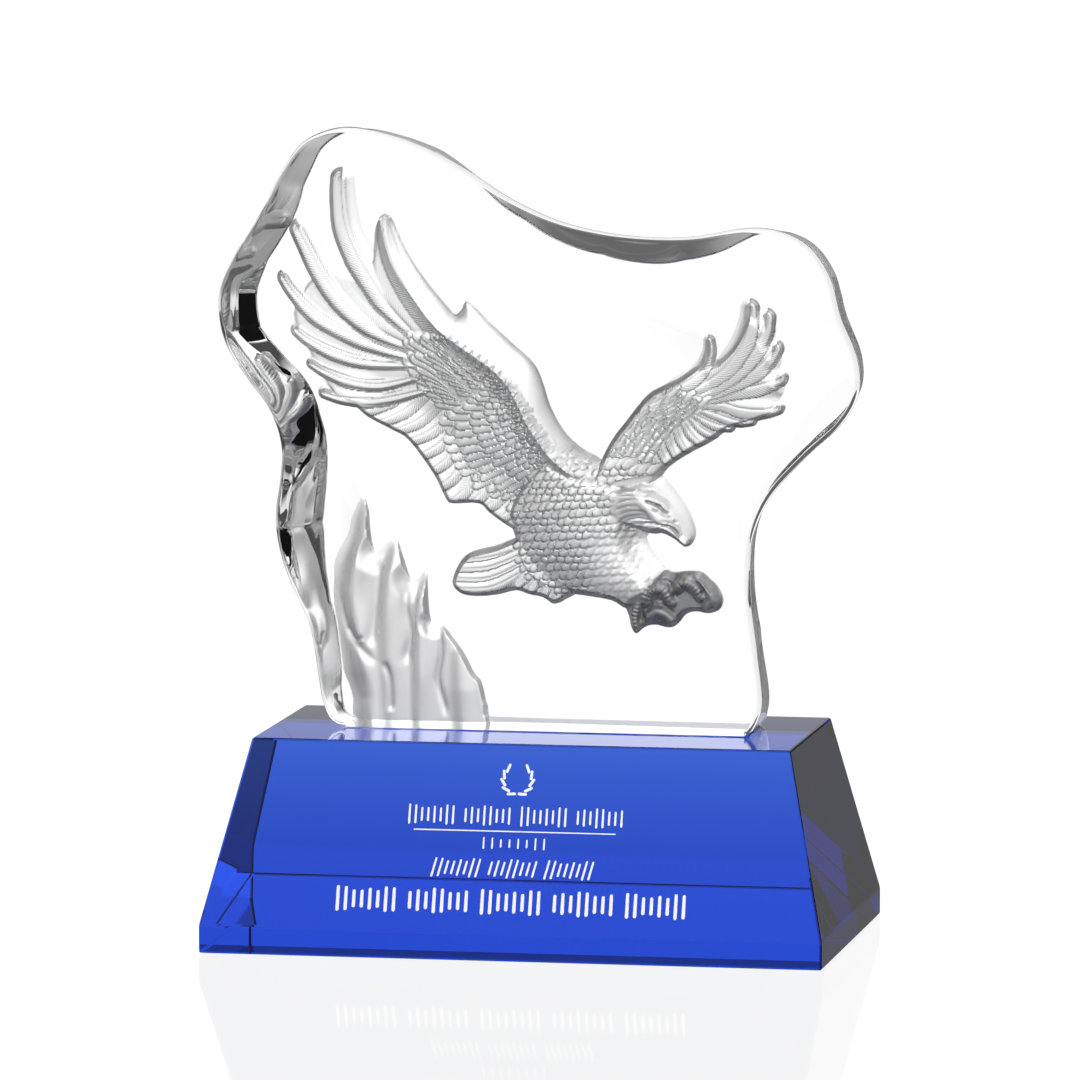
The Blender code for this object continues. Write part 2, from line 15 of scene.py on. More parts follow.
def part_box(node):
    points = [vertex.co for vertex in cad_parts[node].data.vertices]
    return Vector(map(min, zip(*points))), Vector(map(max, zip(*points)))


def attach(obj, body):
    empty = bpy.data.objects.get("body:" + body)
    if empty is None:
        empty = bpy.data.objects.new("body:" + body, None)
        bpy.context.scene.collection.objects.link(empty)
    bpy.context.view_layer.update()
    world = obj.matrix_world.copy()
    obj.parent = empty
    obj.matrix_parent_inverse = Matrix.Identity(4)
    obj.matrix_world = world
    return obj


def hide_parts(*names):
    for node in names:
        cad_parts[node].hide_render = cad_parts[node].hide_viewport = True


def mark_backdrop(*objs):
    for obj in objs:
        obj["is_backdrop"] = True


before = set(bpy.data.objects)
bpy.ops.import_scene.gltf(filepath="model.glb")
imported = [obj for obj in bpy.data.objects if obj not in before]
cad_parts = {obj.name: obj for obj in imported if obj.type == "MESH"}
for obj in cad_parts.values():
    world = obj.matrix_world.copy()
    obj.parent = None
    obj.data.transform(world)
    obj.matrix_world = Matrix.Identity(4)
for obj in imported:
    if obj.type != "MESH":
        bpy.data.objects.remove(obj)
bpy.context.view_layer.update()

# Camera
CAMERA_AZIMUTH = 10.5345
CAMERA_ELEVATION = 6.5135
CAMERA_DISTANCE = 3.0
CAMERA_TARGET = Vector((-0.00107, 0.0, 0.11438))
CAMERA_LENS = 347.4
SENSOR = 36.0

# Drawn sizes, in millimetres
MM = 0.001
DRAWN_HEIGHT = 173.2
CELL = 0.335
OUTSIDE = -0.6
FEATHER_WALL = 1.5
TIP_FALL = 0.9
ROOT_FALL = 0.75
RIDGE_DROP = 2.6
LIGHT_SIDE = (0.8, 0.6)
# Steep walls get painted shade, rising from the first slope to the second
WALL_SLOPES = (0.8, 2.4)
WALL_SHADE = 2.4

# Walls of the forms: how wide on the shaded side and on the lit side
WING_WALLS = (1.2, 5.0)
ARM_WALLS = (1.5, 5.0)
BODY_WALLS = (1.8, 9.0)
HEAD_WALLS = (1.8, 9.0)
TAIL_WALLS = (1.4, 2.4)
FEET_WALLS = (1.5, 2.8)
CRAG_WALLS = (7.0, 1.0)

# Depths of the forms at their edges, and of the flight feathers at their tips and roots
ARM_DEPTH = 2.8
BODY_DEPTH = 4.0
HEAD_DEPTH = 4.2
TAIL_DEPTH = 3.6
FEET_DEPTH = 3.6
CRAG_DEPTH = 2.2
LEFT_VANE = (2.2, 3.2)
RIGHT_VANE = (2.0, 3.0)
FIELD_LEFT, FIELD_RIGHT = -84.0, 72.0
FIELD_FOOT, FIELD_TOP = -4.0, 164.0

# Slab, in millimetres
SLAB_EDGE = 1.6
BACK_EDGE = 0.7
OUTLINE_STEPS = 10
EDGE_STEPS = 6
WALL_STEPS = 12
CHIP_SIZE = 26.0
CHIP_DEPTH = 0.6
CHIP_REACH = 30.0
CUTTER_BACK = 4.0

# Slab outline from its top left peak round to the left: x, z, and how far the back edge is set in
OUTLINE = [
    (-57.0, 173.2, 2.5), (-68.1, 169.1, 3.5), (-75.0, 160.2, 5.0), (-80.6, 149.2, 6.4),
    (-88.3, 136.9, 7.0), (-93.0, 126.9, 7.2), (-93.5, 118.0, 7.4), (-91.1, 109.3, 7.6),
    (-84.9, 99.8, 8.5), (-78.7, 91.4, 9.5), (-75.4, 81.6, 9.5), (-75.6, 72.0, 10.0),
    (-77.0, 61.3, 10.5), (-76.3, 53.0, 10.0), (-73.7, 44.0, 8.0), (-69.9, 35.5, 5.5),
    (-66.7, 27.5, 4.0), (-64.6, 15.0, 3.4), (-63.2, 7.0, 2.4), (-60.6, 1.8, 1.0), (-56.0, 0.0, 0.0),
    (-46.0, 0.0, 0.0), (0.0, 0.0, 0.0), (52.0, 0.0, 0.0), (60.2, 0.0, 0.0), (63.8, 4.0, 1.5),
    (65.2, 11.0, 2.5), (63.6, 25.0, 3.0), (61.6, 42.0, 3.0), (62.4, 57.0, 3.0), (67.6, 69.0, 3.0),
    (78.0, 80.8, 3.0), (88.0, 90.2, 3.0), (92.8, 99.0, 3.0), (92.4, 109.0, 3.0), (87.6, 121.0, 3.0),
    (84.6, 132.0, 3.0), (78.6, 140.8, 3.0), (70.0, 145.2, 3.0), (60.0, 145.9, 3.6),
    (46.1, 143.4, 7.0), (34.0, 142.8, 9.0), (20.0, 144.0, 9.0), (6.0, 147.2, 8.0),
    (-8.0, 153.4, 6.4), (-20.0, 161.0, 4.4), (-32.0, 167.3, 3.0), (-44.6, 171.5, 2.5)]

# Left wing, seen from the front
LEADING_EDGE = [
    (-45.6, 144.0), (-41.8, 135.7), (-36.2, 127.5), (-30.7, 121.0), (-27.7, 118.0), (-25.8, 119.2),
    (-23.8, 121.6), (-17.2, 115.4), (-10.6, 109.5), (-4.4, 104.0), (-1.6, 98.1), (0.5, 91.6),
    (4.1, 85.0), (8.8, 80.4), (14.8, 77.0)]
TRAILING_EDGE = [
    (-8.5, 55.2), (-16.9, 60.4), (-20.6, 63.5), (-28.0, 63.3), (-30.1, 64.7), (-33.5, 71.5),
    (-40.8, 81.2), (-45.9, 84.2), (-52.9, 87.8), (-57.3, 91.4)]
TIP_NOTCHES = [
    (-62.5, 93.4), (-66.3, 99.6), (-70.6, 107.4), (-75.0, 117.6), (-70.6, 126.6), (-62.2, 132.4),
    (-53.0, 131.5), (-51.0, 142.5), (-48.5, 146.4)]
ARM_RIDGE = [
    (-49.6, 145.0), (-47.8, 138.0), (-44.8, 130.5), (-39.0, 122.0), (-33.0, 114.8), (-23.8, 107.9),
    (-16.9, 103.3), (-11.3, 97.9), (-7.9, 91.8), (-4.4, 85.0), (0.5, 78.3), (6.0, 73.5)]
ARM_HEIGHTS = [3.0, 3.4, 4.2, 5.2, 6.4, 7.2, 7.6, 8.0, 8.4, 8.8, 9.4, 10.0]
VANE_HEIGHT = 2.6

# Flight feathers: centre line from the tip to the root, and half widths along it
LEFT_FEATHERS = [
    ([(-65.4, 95.2), (-59.9, 93.8), (-52.3, 93.4), (-44.6, 94.6), (-35.6, 96.8)], (2.2, 2.9, 3.0, 2.4)),
    ([(-69.2, 103.7), (-64.8, 101.4), (-57.1, 98.8), (-48.8, 98.2), (-39.1, 100.1)],
     (2.0, 3.0, 3.0, 2.4)),
    ([(-73.4, 113.2), (-69.7, 110.6), (-62.7, 107.3), (-54.3, 105.0), (-39.7, 103.9)],
     (2.4, 3.3, 3.2, 2.4)),
    ([(-77.3, 128.0), (-74.5, 124.2), (-68.2, 118.1), (-59.9, 113.5), (-50.2, 109.5), (-40.4, 106.3)],
     (2.4, 3.6, 3.8, 2.6)),
    ([(-72.9, 142.0), (-70.8, 137.9), (-67.2, 131.2), (-62.0, 123.7), (-55.0, 117.0), (-47.4, 112.3),
      (-40.1, 109.0)], (3.2, 3.9, 4.2, 3.9, 2.6)),
    ([(-60.6, 156.4), (-60.5, 151.8), (-59.4, 142.9), (-56.4, 135.4), (-51.9, 128.0), (-46.7, 120.5),
      (-40.4, 113.8)], (3.6, 4.3, 4.7, 4.4, 2.8))]
THUMB_FEATHER = (
    [(-48.6, 147.4), (-47.9, 140.0), (-45.8, 133.0), (-42.0, 126.0), (-37.4, 119.4), (-31.0, 112.0)],
    (1.6, 2.8, 3.4, 3.6, 3.0))
RIGHT_FEATHERS = [
    ([(31.4, 76.2), (30.4, 79.5), (30.6, 82.5)], (1.5, 1.7, 1.2)),
    ([(33.9, 77.2), (32.8, 80.0), (32.6, 83.0)], (1.5, 1.7, 1.2)),
    ([(36.8, 78.8), (35.6, 81.6), (35.0, 84.5)], (1.5, 1.8, 1.2)),
    ([(39.9, 80.6), (38.2, 83.4), (37.2, 86.5)], (1.6, 1.9, 1.2)),
    ([(43.6, 82.8), (41.2, 85.2), (39.2, 88.4)], (1.7, 2.0, 1.3)),
    ([(47.4, 85.1), (44.6, 86.5), (41.4, 89.6)], (1.8, 2.1, 1.4)),
    ([(52.0, 87.2), (48.6, 87.8), (45.0, 89.3), (41.8, 91.0)], (1.9, 2.2, 1.9, 1.3)),
    ([(58.2, 89.2), (54.6, 89.0), (49.8, 90.4), (42.2, 92.8)], (2.0, 2.3, 2.0, 1.3)),
    ([(65.6, 93.0), (61.7, 92.3), (55.4, 92.6), (49.8, 93.9), (41.0, 93.6)], (2.5, 3.3, 2.9, 2.3, 1.4)),
    ([(66.2, 101.4), (63.6, 100.2), (59.3, 98.9), (53.8, 97.8), (47.8, 96.1), (41.0, 94.0)],
     (2.9, 3.5, 3.2, 2.6, 1.5)),
    ([(64.9, 109.8), (62.5, 106.4), (58.2, 102.8), (52.6, 99.9), (46.6, 96.8), (41.0, 94.4)],
     (2.9, 3.7, 3.4, 2.7, 1.5)),
    ([(62.6, 118.6), (61.6, 114.5), (58.6, 108.9), (54.1, 103.7), (48.6, 99.2), (42.0, 95.0)],
     (2.9, 3.8, 3.6, 2.9, 1.7)),
    ([(58.0, 121.2), (57.6, 117.0), (56.2, 112.0), (53.2, 107.0), (49.0, 102.4), (40.0, 96.6)],
     (2.8, 3.6, 3.6, 3.0, 1.8)),
    ([(46.2, 111.6), (46.2, 108.5), (44.8, 104.6), (41.6, 101.0), (36.0, 97.6), (30.0, 92.0)],
     (1.8, 2.6, 3.0, 2.6, 2.0))]
RIGHT_WING = [
    (15.0, 76.4), (18.2, 82.8), (22.2, 88.1), (26.2, 93.3), (29.8, 96.9), (37.0, 100.6), (43.0, 104.6),
    (49.6, 106.8), (54.4, 112.4), (56.6, 117.6), (58.6, 121.6), (61.6, 120.6), (64.2, 118.2),
    (65.4, 115.2), (65.0, 112.4), (66.8, 109.6), (67.2, 106.4), (66.6, 103.6), (68.2, 100.8),
    (67.8, 97.4), (66.8, 95.4), (67.0, 92.4), (64.0, 90.2), (58.0, 88.0), (51.8, 86.0), (46.6, 82.4),
    (41.0, 79.4), (34.6, 75.0), (31.0, 70.0), (24.0, 62.0), (12.0, 66.0)]
RIGHT_ARM = [(14.0, 70.0), (20.0, 80.0), (28.0, 89.0), (38.0, 96.0)]
RIGHT_ARM_RISE = ((15, 13, 11, 9), (4.4, 3.6, 2.6, 1.6))
ARM_TUFT_RIDGE = [(13.0, 78.0), (20.0, 87.0), (27.0, 94.0), (36.0, 98.5)]
ARM_TUFT_FOOT = [(27.0, 73.0), (32.0, 82.0), (38.0, 89.0), (46.0, 95.0)]
ARM_TUFT_TURN = [62.0, 50.0, 36.0]
ARM_TUFT_ROWS = 8
ARM_TUFTS = 13

# Rows of small feathers on the left wing, between the ridge of the arm and the tips of the first row
COVERT_RIDGE = [(-29.3, 111.3)] + ARM_RIDGE[5:10] + [(-0.2, 78.3), (3.2, 74.9)]
COVERT_TIPS = [
    (-39.9, 111.8), (-40.3, 106.3), (-39.6, 101.5), (-37.3, 98.5), (-34.9, 95.4), (-32.1, 93.4),
    (-29.7, 90.0), (-29.0, 85.3), (-28.0, 79.8), (-25.2, 74.4), (-16.9, 67.7), (-8.5, 65.1),
    (-3.7, 61.1)]
COVERT_ROWS = [1.0, 0.86, 0.60, 0.38, 0.25, 0.16, 0.09, 0.03]
COVERT_LENGTHS = [6.5, 7.5, 7.5, 5.5, 3.6, 2.6, 2.0, 1.5]
COVERT_PITCHES = [2.6, 2.5, 2.3, 2.1, 1.9, 1.6, 1.3, 1.1]
TUFT_TURN = [70.0, 58.0, 46.0, 38.0]
TUFTS = 20
SECONDARIES = 11
WING_TURN = [138.0, 150.0, 162.0, 175.0, 186.0, 198.0, 206.0, 212.0]

# Body, head, tail and feet
BODY = [
    (14.8, 77.0), (3.0, 80.0), (-6.0, 72.0), (-12.0, 62.0), (-10.0, 54.0), (-9.7, 48.0), (-6.0, 42.0),
    (0.0, 38.8), (8.9, 37.7), (17.8, 36.2), (22.0, 33.9), (28.0, 34.0), (33.0, 40.0), (34.0, 45.5),
    (31.0, 49.5), (28.4, 54.6), (30.0, 58.0), (34.0, 66.0), (32.5, 73.0)]
BREAST = [(8.0, 74.0), (9.0, 64.0), (12.0, 54.0), (18.0, 46.0), (25.0, 42.0)]
BREAST_RISE = ((17, 20, 18, 13, 11), (5, 5.6, 5, 3.6, 2.2))
BELLY = (10.0, 57.0)
SCALE_TURN = 215
SCALE_PITCHES = (2.1, 2.6)
SCALE_ROWS = 14
SCALES_ASIDE = 12
HEAD = [
    (28.8, 56.3), (32.7, 56.3), (35.7, 54.9), (37.8, 53.2), (39.3, 52.3), (41.2, 53.4), (42.4, 56.2),
    (42.0, 59.2), (40.5, 63.3), (38.1, 66.8), (35.1, 70.3), (32.0, 72.6), (27.0, 72.6), (15.0, 69.0),
    (16.0, 60.0)]
NECK = [(12.0, 66.0), (20.0, 68.0), (28.0, 66.0), (35.0, 61.5), (39.5, 56.0)]
NECK_RISE = ((15, 15, 14, 10, 7), (5, 4.6, 4, 2.8, 1.6))
FACE_LEFT = 17.5
FEET_LEFT = 21.0
TAIL = [
    (-9.1, 54.0), (-15.1, 51.5), (-22.3, 49.5), (-25.9, 46.5), (-28.3, 40.5), (-25.9, 37.3),
    (-21.2, 36.5), (-15.1, 37.2), (-9.7, 38.6), (-6.2, 37.7), (-1.9, 36.9), (1.1, 35.0), (4.6, 36.4),
    (8.0, 40.0), (0.0, 50.0), (-4.0, 56.0)]
TAIL_FEATHERS = [
    ([(-24.2, 47.2), (-16.0, 48.4), (-7.0, 51.4)], (1.6, 1.9, 1.6)),
    ([(-26.4, 44.6), (-17.0, 45.4), (-7.0, 49.6)], (1.7, 2.0, 1.6)),
    ([(-27.2, 41.8), (-17.0, 42.3), (-6.4, 47.4)], (1.7, 2.0, 1.6)),
    ([(-26.6, 39.0), (-16.4, 39.6), (-5.8, 45.2)], (1.8, 2.0, 1.6)),
    ([(-9.0, 40.4), (-5.4, 43.6), (-1.0, 47.2)], (1.5, 1.8, 1.5)),
    ([(-5.2, 38.9), (-2.4, 43.0), (1.0, 47.0)], (1.5, 1.8, 1.6)),
    ([(-1.4, 37.8), (0.6, 42.0), (2.8, 46.6)], (1.5, 1.8, 1.6)),
    ([(2.4, 37.0), (3.4, 41.4), (5.0, 46.0)], (1.6, 1.8, 1.6))]
FEET = [
    (22.0, 36.0), (22.9, 31.6), (23.6, 28.4), (25.0, 26.6), (27.4, 28.5), (30.4, 29.3), (34.6, 28.5),
    (37.2, 29.8), (39.4, 32.5), (42.3, 33.4), (45.9, 32.9), (49.2, 34.2), (50.2, 37.5), (48.6, 41.0),
    (46.5, 43.0), (44.1, 45.1), (39.9, 45.3), (36.3, 44.9), (33.0, 45.5), (28.0, 40.0)]
TOES = [
    ([(28.4, 36.4), (29.2, 38.8), (30.8, 39.9), (32.6, 39.8), (34.0, 38.6), (35.4, 36.4)],
     (2.0, 2.3, 2.3, 2.2, 2.0), (1.6, 2.6, 3.0, 2.6, 1.6)),
    ([(37.0, 40.2), (38.8, 41.9), (41.0, 41.5), (42.8, 40.0), (44.2, 38.0)], (2.0, 2.3, 2.2, 2.0),
     (2.0, 2.8, 2.6, 1.8)),
    ([(41.6, 44.2), (44.6, 42.7), (46.6, 40.2), (47.4, 37.4), (46.0, 35.2)], (1.8, 2.2, 2.4, 2.0),
     (1.6, 2.2, 2.4, 1.6)),
    ([(29.3, 32.2), (31.4, 33.4), (33.6, 32.6), (35.6, 30.8)], (1.8, 2.2, 1.6), (1.8, 2.4, 1.4)),
    ([(26.0, 35.6), (25.1, 33.2), (24.8, 30.8), (25.0, 28.4)], (1.8, 1.8, 1.4), (2.0, 2.0, 1.2))]

# Lines of the head and feet. A scored line has its points, its width, its depth and the shade painted along
# it; the last two head lines have no depth and only paint shade down the right side of the head and beak.
BROW = [(27.0, 67.0), (30.6, 66.2), (33.2, 65.0), (35.6, 63.2)]
EYE = (31.7, 63.6)
EYE_SIZE = 0.75
STREAKS = [
    [(31.9, 68.3), (25.6, 68.8), (20.2, 69.2), (16.0, 70.2)],
    [(30.4, 67.0), (25.6, 67.2), (20.7, 67.2), (16.1, 67.5)],
    [(27.8, 65.8), (24.6, 65.9), (21.7, 65.3), (18.2, 64.0)],
    [(27.5, 64.1), (24.6, 64.2), (21.2, 63.4), (18.0, 61.8)],
    [(29.5, 62.4), (25.6, 62.8), (22.2, 62.1), (18.3, 60.1)],
    [(30.4, 61.1), (27.0, 61.7), (23.1, 60.9), (20.7, 59.4), (19.5, 57.9)],
    [(31.4, 60.1), (28.0, 60.5), (25.1, 60.5), (22.6, 59.2), (20.5, 56.7)],
    [(27.8, 56.9), (25.6, 56.6), (22.6, 56.1), (19.7, 54.6)]]
HEAD_LINES = [
    ([(27.8, 65.8), (30.4, 65.0), (32.4, 64.2), (33.8, 62.7), (35.8, 62.0)], 0.35, 0.8, 0.9),
    ([(30.2, 64.2), (31.0, 62.9), (32.9, 62.3), (34.3, 61.5), (36.5, 61.3)], 0.30, 0.4, 0.6),
    ([(27.5, 59.3), (30.4, 59.4), (32.9, 58.9), (35.3, 58.5), (36.8, 57.3), (37.7, 55.9), (38.0, 53.6)],
     0.40, 0.8, 0.8),
    ([(32.4, 60.0), (35.3, 59.7), (37.3, 58.5), (38.3, 56.9), (38.7, 54.2)], 0.30, 0.4, 0.4),
    ([(36.2, 60.0), (36.8, 59.9), (37.4, 59.5)], 0.35, 0.5, 0.7),
    ([(31.0, 72.6), (35.6, 69.4), (39.0, 64.8), (41.4, 60.4), (42.0, 57.0), (41.0, 54.2), (39.0, 52.9)],
     2.2, 0.0, 0.6),
    ([(40.6, 61.4), (41.8, 58.6), (41.8, 55.4), (40.0, 53.2)], 1.0, 0.0, 0.8)]
TOE_ARCS = [
    ([(28.2, 36.2), (29.2, 38.8), (30.8, 39.9), (32.6, 39.8), (34.0, 38.6), (35.6, 35.8)], 2.2),
    ([(36.8, 40.2), (38.8, 41.8), (41.0, 41.4), (42.8, 40.0), (44.4, 37.8)], 2.1),
    ([(25.9, 35.8), (25.1, 33.2), (24.8, 30.8), (25.0, 28.0)], 1.5)]
TOE_RING_PITCH = 1.15
TOE_RING_HEIGHT = 0.2
FOOT_LINES = [
    ([(30.2, 36.0), (31.7, 36.8), (33.2, 36.1)], 0.5, 0.8, 1.0),
    ([(36.6, 36.2), (36.4, 39.0), (35.4, 41.4), (33.2, 43.4)], 0.6, 0.9, 0.9),
    ([(35.3, 44.8), (37.5, 45.6), (41.4, 45.8)], 0.5, 0.6, 0.9),
    ([(44.6, 37.6), (44.8, 39.8), (43.2, 42.2), (40.4, 44.2)], 0.5, 0.7, 0.8),
    ([(27.4, 36.0), (27.0, 33.0), (26.6, 30.0)], 0.5, 0.6, 0.8),
    ([(28.6, 34.6), (31.4, 35.2), (34.4, 34.4), (36.6, 32.6)], 0.5, 0.6, 0.7)]
LEG_EDGE = [(29.4, 57.4), (28.8, 54.6), (31.0, 49.8), (34.4, 45.0)]

# Crag below the wing, and the ridges that run down it
CRAG = [
    (-63.1, 34.6), (-63.1, 40.5), (-62.5, 46.9), (-58.9, 54.0), (-57.5, 59.4), (-54.5, 64.8),
    (-52.7, 60.6), (-52.1, 54.1), (-50.5, 48.8), (-45.0, 52.9), (-42.8, 47.9), (-40.6, 41.4),
    (-38.7, 41.0), (-36.0, 43.7), (-35.5, 39.4), (-35.2, 34.0), (-34.4, 28.8), (-31.7, 28.4),
    (-28.1, 24.5), (-24.9, 19.7), (-22.1, 14.3), (-20.0, 11.7), (-18.6, 6.3), (-17.8, 2.6),
    (-18.5, -14.0), (-55.0, -14.0), (-57.5, 6.0), (-60.2, 14.0), (-61.6, 23.0)]
CRAG_RIDGES = [
    ([(-54.5, 63.0), (-55.0, 50.0), (-58.0, 36.0), (-55.0, 18.0), (-53.0, -2.0)], (3.0, 5.5, 6.0, 6.0, 6.0),
     (1.0, 1.6, 1.8, 1.6, 1.2)),
    ([(-45.2, 51.0), (-46.0, 38.0), (-46.0, 24.0), (-45.0, -2.0)],
     (2.5, 5.0, 5.5, 6.0), (1.0, 1.7, 1.8, 1.2)),
    ([(-36.2, 42.4), (-37.0, 34.0), (-37.0, 18.0), (-37.0, -2.0)],
     (1.6, 3.5, 4.5, 5.0), (0.8, 1.5, 1.8, 1.2)),
    ([(-26.0, 20.0), (-25.0, 10.0), (-24.0, -2.0)], (3.5, 5.0, 5.0), (0.8, 1.5, 1.2))]
# Lines scored down the crag: points, width, depth and the shade painted along them
CRAG_LINES = [
    ([(-62.4, 44.0), (-62.0, 37.8), (-58.5, 26.2), (-53.6, 19.5), (-50.2, 15.7)], 1.3, 1.0, 0.4),
    ([(-50.1, 49.2), (-50.1, 41.0), (-51.1, 29.3), (-53.1, 19.5)], 1.6, 0.8, 0.0),
    ([(-32.0, 27.8), (-31.5, 20.0), (-32.5, 12.2), (-30.5, 4.5), (-30.5, 0.6)], 0.9, 0.8, 0.35),
    ([(-41.3, 41.2), (-41.8, 33.4), (-40.3, 24.7), (-42.3, 15.9)], 1.2, 0.7, 0.2),
    ([(-58.5, 27.2), (-56.1, 23.3), (-53.9, 24.4)], 0.6, 0.5, 0.4),
    ([(-48.2, 17.7), (-46.2, 11.9), (-45.8, 2.1)], 1.0, 0.7, 0.3)]

# Crystal, its frost and the silver
CRYSTAL_IOR = 1.52
BLUE = (0.034, 0.376, 0.88, 1.0)
BLUE_DENSITY = 41.0
FROST_PALE = (0.97, 0.97, 0.975, 1.0)
FROST_DARK = (0.09, 0.09, 0.095, 1.0)
FROST_ROUGHNESS = 0.42
FROST_CLEARNESS = 0.62
GRAIN_SCALE = 2600.0
GRIT = 0.25
BARB_PITCH = 0.85
BARB_SLANT = 1.1
BARB_WANDER = 1.4
WANDER_SCALE = 400.0
# How far painted shade darkens the frost: in the barbs, along the lines and broadly
BARB_SHADE = 0.8
LINE_SHADE = 0.7
BROAD_SHADE = 0.25
GRAIN_RISE = 0.4
BARB_RISE = 0.5
RISE_STRENGTH = 0.5
RISE_HEIGHT = 0.0002
SILVER = (0.86, 0.87, 0.88, 1.0)
SILVER_ROUGHNESS = 0.42
SILVER_METAL = 0.35

# Strokes on the base, in millimetres: middle above the ground, width, height, pitch, slant, stroke width
STROKE_ROWS = [
    (40.2, 62.0, 5.5, 1.75, 0.0, 0.62),
    (32.7, 18.0, 3.3, 1.9, 0.0, 0.5),
    (25.8, 46.0, 5.5, 1.7, 14.0, 0.62),
    (16.6, 101.0, 7.0, 2.2, 0.0, 1.0)]
STROKE_HEIGHTS = (1.0, 0.7, 0.85, 0.7, 0.7, 0.95)
WORD = 9
STROKE_RISE = 0.08
STROKE_GAP = 0.02

# Rule between the rows: middle above the ground, length, width
RULE = (36.0, 58.5, 0.35)

# Wreath: middle above the ground, radius, stroke length, stroke width, strokes on each side
WREATH = (50.2, 4.2, 2.7, 0.8, 5)
WREATH_TURNS = (22.0, 138.0)
WREATH_LEAN = 115

# Lights of the studio
KEY_AXIS = (0.58, 0.62, 0.53)
KEY_LIGHT = 2.2
TOP_LIGHT = 2.2
FILL_LIGHT = 0.22
SIDE_LIGHT = 0.12
CARD_LIGHT = 0.12
SHEET_LIGHT = 2.1
CLEAR_LIGHT = 1.12
POLISHED_SHARE = 0.55
MIRRORED_SHEET = 0.45
MIRRORED_FRONT = 0.35
MIRRORED_BACK = 0.05
MIRRORED_FLOOR = 0.06

# Where each light starts and is full, as parts of the way round to its axis
SHEET_EDGE = (0.62, 0.94)
SIDE_EDGE = (0.2, 0.45)
KEY_FOOT = (0.25, 0.45)
KEY_EDGE = (0.72, 0.92)
TOP_EDGE = (0.86, 0.95)
MIRRORED_SIDE = (-0.05, 0.1)
MIRRORED_FOOT = (0.75, 0.95)
MIRRORED_TURN = (-0.6, 0.2)
CARD_NEAR = (0.26, 0.34)
CARD_FAR = (0.58, 0.66)
CARD_TOP = (0.36, 0.5)

# Floor, in metres
FLOOR_RADIUS = 6.0
FLOOR_GAP = 0.0003
# Where the floor's glow changes, and its glow near the piece and far off: the dim glow near it is a painted
# contact shadow
FLOOR_EDGE = (0.2, 1.0)
FLOOR_LIGHTS = (0.12, 0.9)
FLOOR_SHEEN = 0.10
FLOOR_ROUGHNESS = 0.05


# Curves and distances

def spline(points, steps=6, closed=False):
    """A smooth curve through drawn points."""
    p = np.array(points, float)
    if closed:
        p = np.vstack([p[-1], p, p[0], p[1]])
    else:
        p = np.vstack([2 * p[0] - p[1], p, 2 * p[-1] - p[-2]])
    t = np.linspace(0, 1, steps, endpoint=False)[:, None]
    parts = []
    for a, b, c, d in zip(p[:-3], p[1:-2], p[2:-1], p[3:]):
        bend = 2 * a - 5 * b + 4 * c - d
        twist = 3 * b - a - 3 * c + d
        parts.append(0.5 * (2 * b + (c - a) * t + bend * t ** 2 + twist * t ** 3))
    if not closed:
        parts.append(p[-2][None])
    return np.vstack(parts)


def along(path):
    """Length run at each point of a path."""
    return np.concatenate([[0], np.cumsum(np.hypot(*np.diff(path, axis=0).T))])


def point_at(path, share):
    """Points at shares of a path's length."""
    run = along(path)
    return np.column_stack([np.interp(np.atleast_1d(share) * run[-1], run, path[:, k]) for k in (0, 1)])


def nearest(x, z, path):
    """Distance to a path, the side it is seen from (+ on its left) and the share of its length there."""
    shares = along(path) / along(path)[-1]
    distance = np.full(x.shape, np.inf)
    side = np.ones(x.shape)
    share = np.zeros(x.shape)
    for start, end, s0, s1 in zip(path[:-1], path[1:], shares[:-1], shares[1:]):
        run, rise = end - start
        across, up = x - start[0], z - start[1]
        k = np.clip((across * run + up * rise) / (run * run + rise * rise + 1e-12), 0, 1)
        d = np.hypot(across - k * run, up - k * rise)
        closer = d < distance
        distance = np.where(closer, d, distance)
        side = np.where(closer, np.sign(run * up - rise * across), side)
        share = np.where(closer, s0 + k * (s1 - s0), share)
    return distance, side, share


def depth_inside(x, z, points):
    """Distance to a closed outline, counted negative outside it."""
    loop = spline(points, 4, closed=True)
    odd = np.zeros(x.shape, bool)
    for (ax, az), (bx, bz) in zip(loop, np.roll(loop, -1, axis=0)):
        if az != bz:
            odd ^= ((az > z) != (bz > z)) & (x < (bx - ax) * (z - az) / (bz - az) + ax)
    distance = nearest(x, z, np.vstack([loop, loop[:1]]))[0]
    return np.where(odd, distance, -distance)


def climb(x, z, points, shaded, lit):
    """How far up the wall within an outline, from 0 at its edge. Walls are lit wide where they face the
    light and shaded wide where they turn from it."""
    loop = spline(points, 4, closed=True)
    ends = np.roll(loop, -1, axis=0)
    run, rise = (ends - loop).T
    turn = np.sign(np.sum(loop[:, 0] * ends[:, 1] - ends[:, 0] * loop[:, 1]))
    facing = turn * (rise * LIGHT_SIDE[0] - run * LIGHT_SIDE[1]) / (np.hypot(run, rise) + 1e-9)
    walls = shaded + (lit - shaded) * ease((facing - 0.1) / 0.9)
    share = np.ones(x.shape)
    for start, end, wall in zip(loop, ends, walls):
        share = np.minimum(share, nearest(x, z, np.array([start, end]))[0] / wall)
    return share


def spread(share, values):
    """Values given at even steps along a path, read at each share of its length."""
    return np.interp(share, np.linspace(0, 1, len(values)), values)


def ease(t):
    t = np.clip(t, 0, 1)
    return t * t * (3 - 2 * t)


def heading(degrees):
    return np.array([cos(radians(degrees)), sin(radians(degrees))])


# The carving's forms, as depths in from the slab's back

def carve(inside, height, wall):
    """A height that rises over a rounded wall, and runs out just behind the slab past its outline."""
    return np.where(inside > 0, height * np.sqrt(ease(inside / wall)), np.maximum(inside, OUTSIDE))


def carve_lit(x, z, outline, height, walls):
    """A form with a narrow wall on its shaded side, that fades out over a wide one on its lit side."""
    inside = depth_inside(x, z, outline)
    share = climb(x, z, outline, *walls)
    return np.where(inside > 0, height * (share + ease(share)) / 2, np.maximum(inside, OUTSIDE))


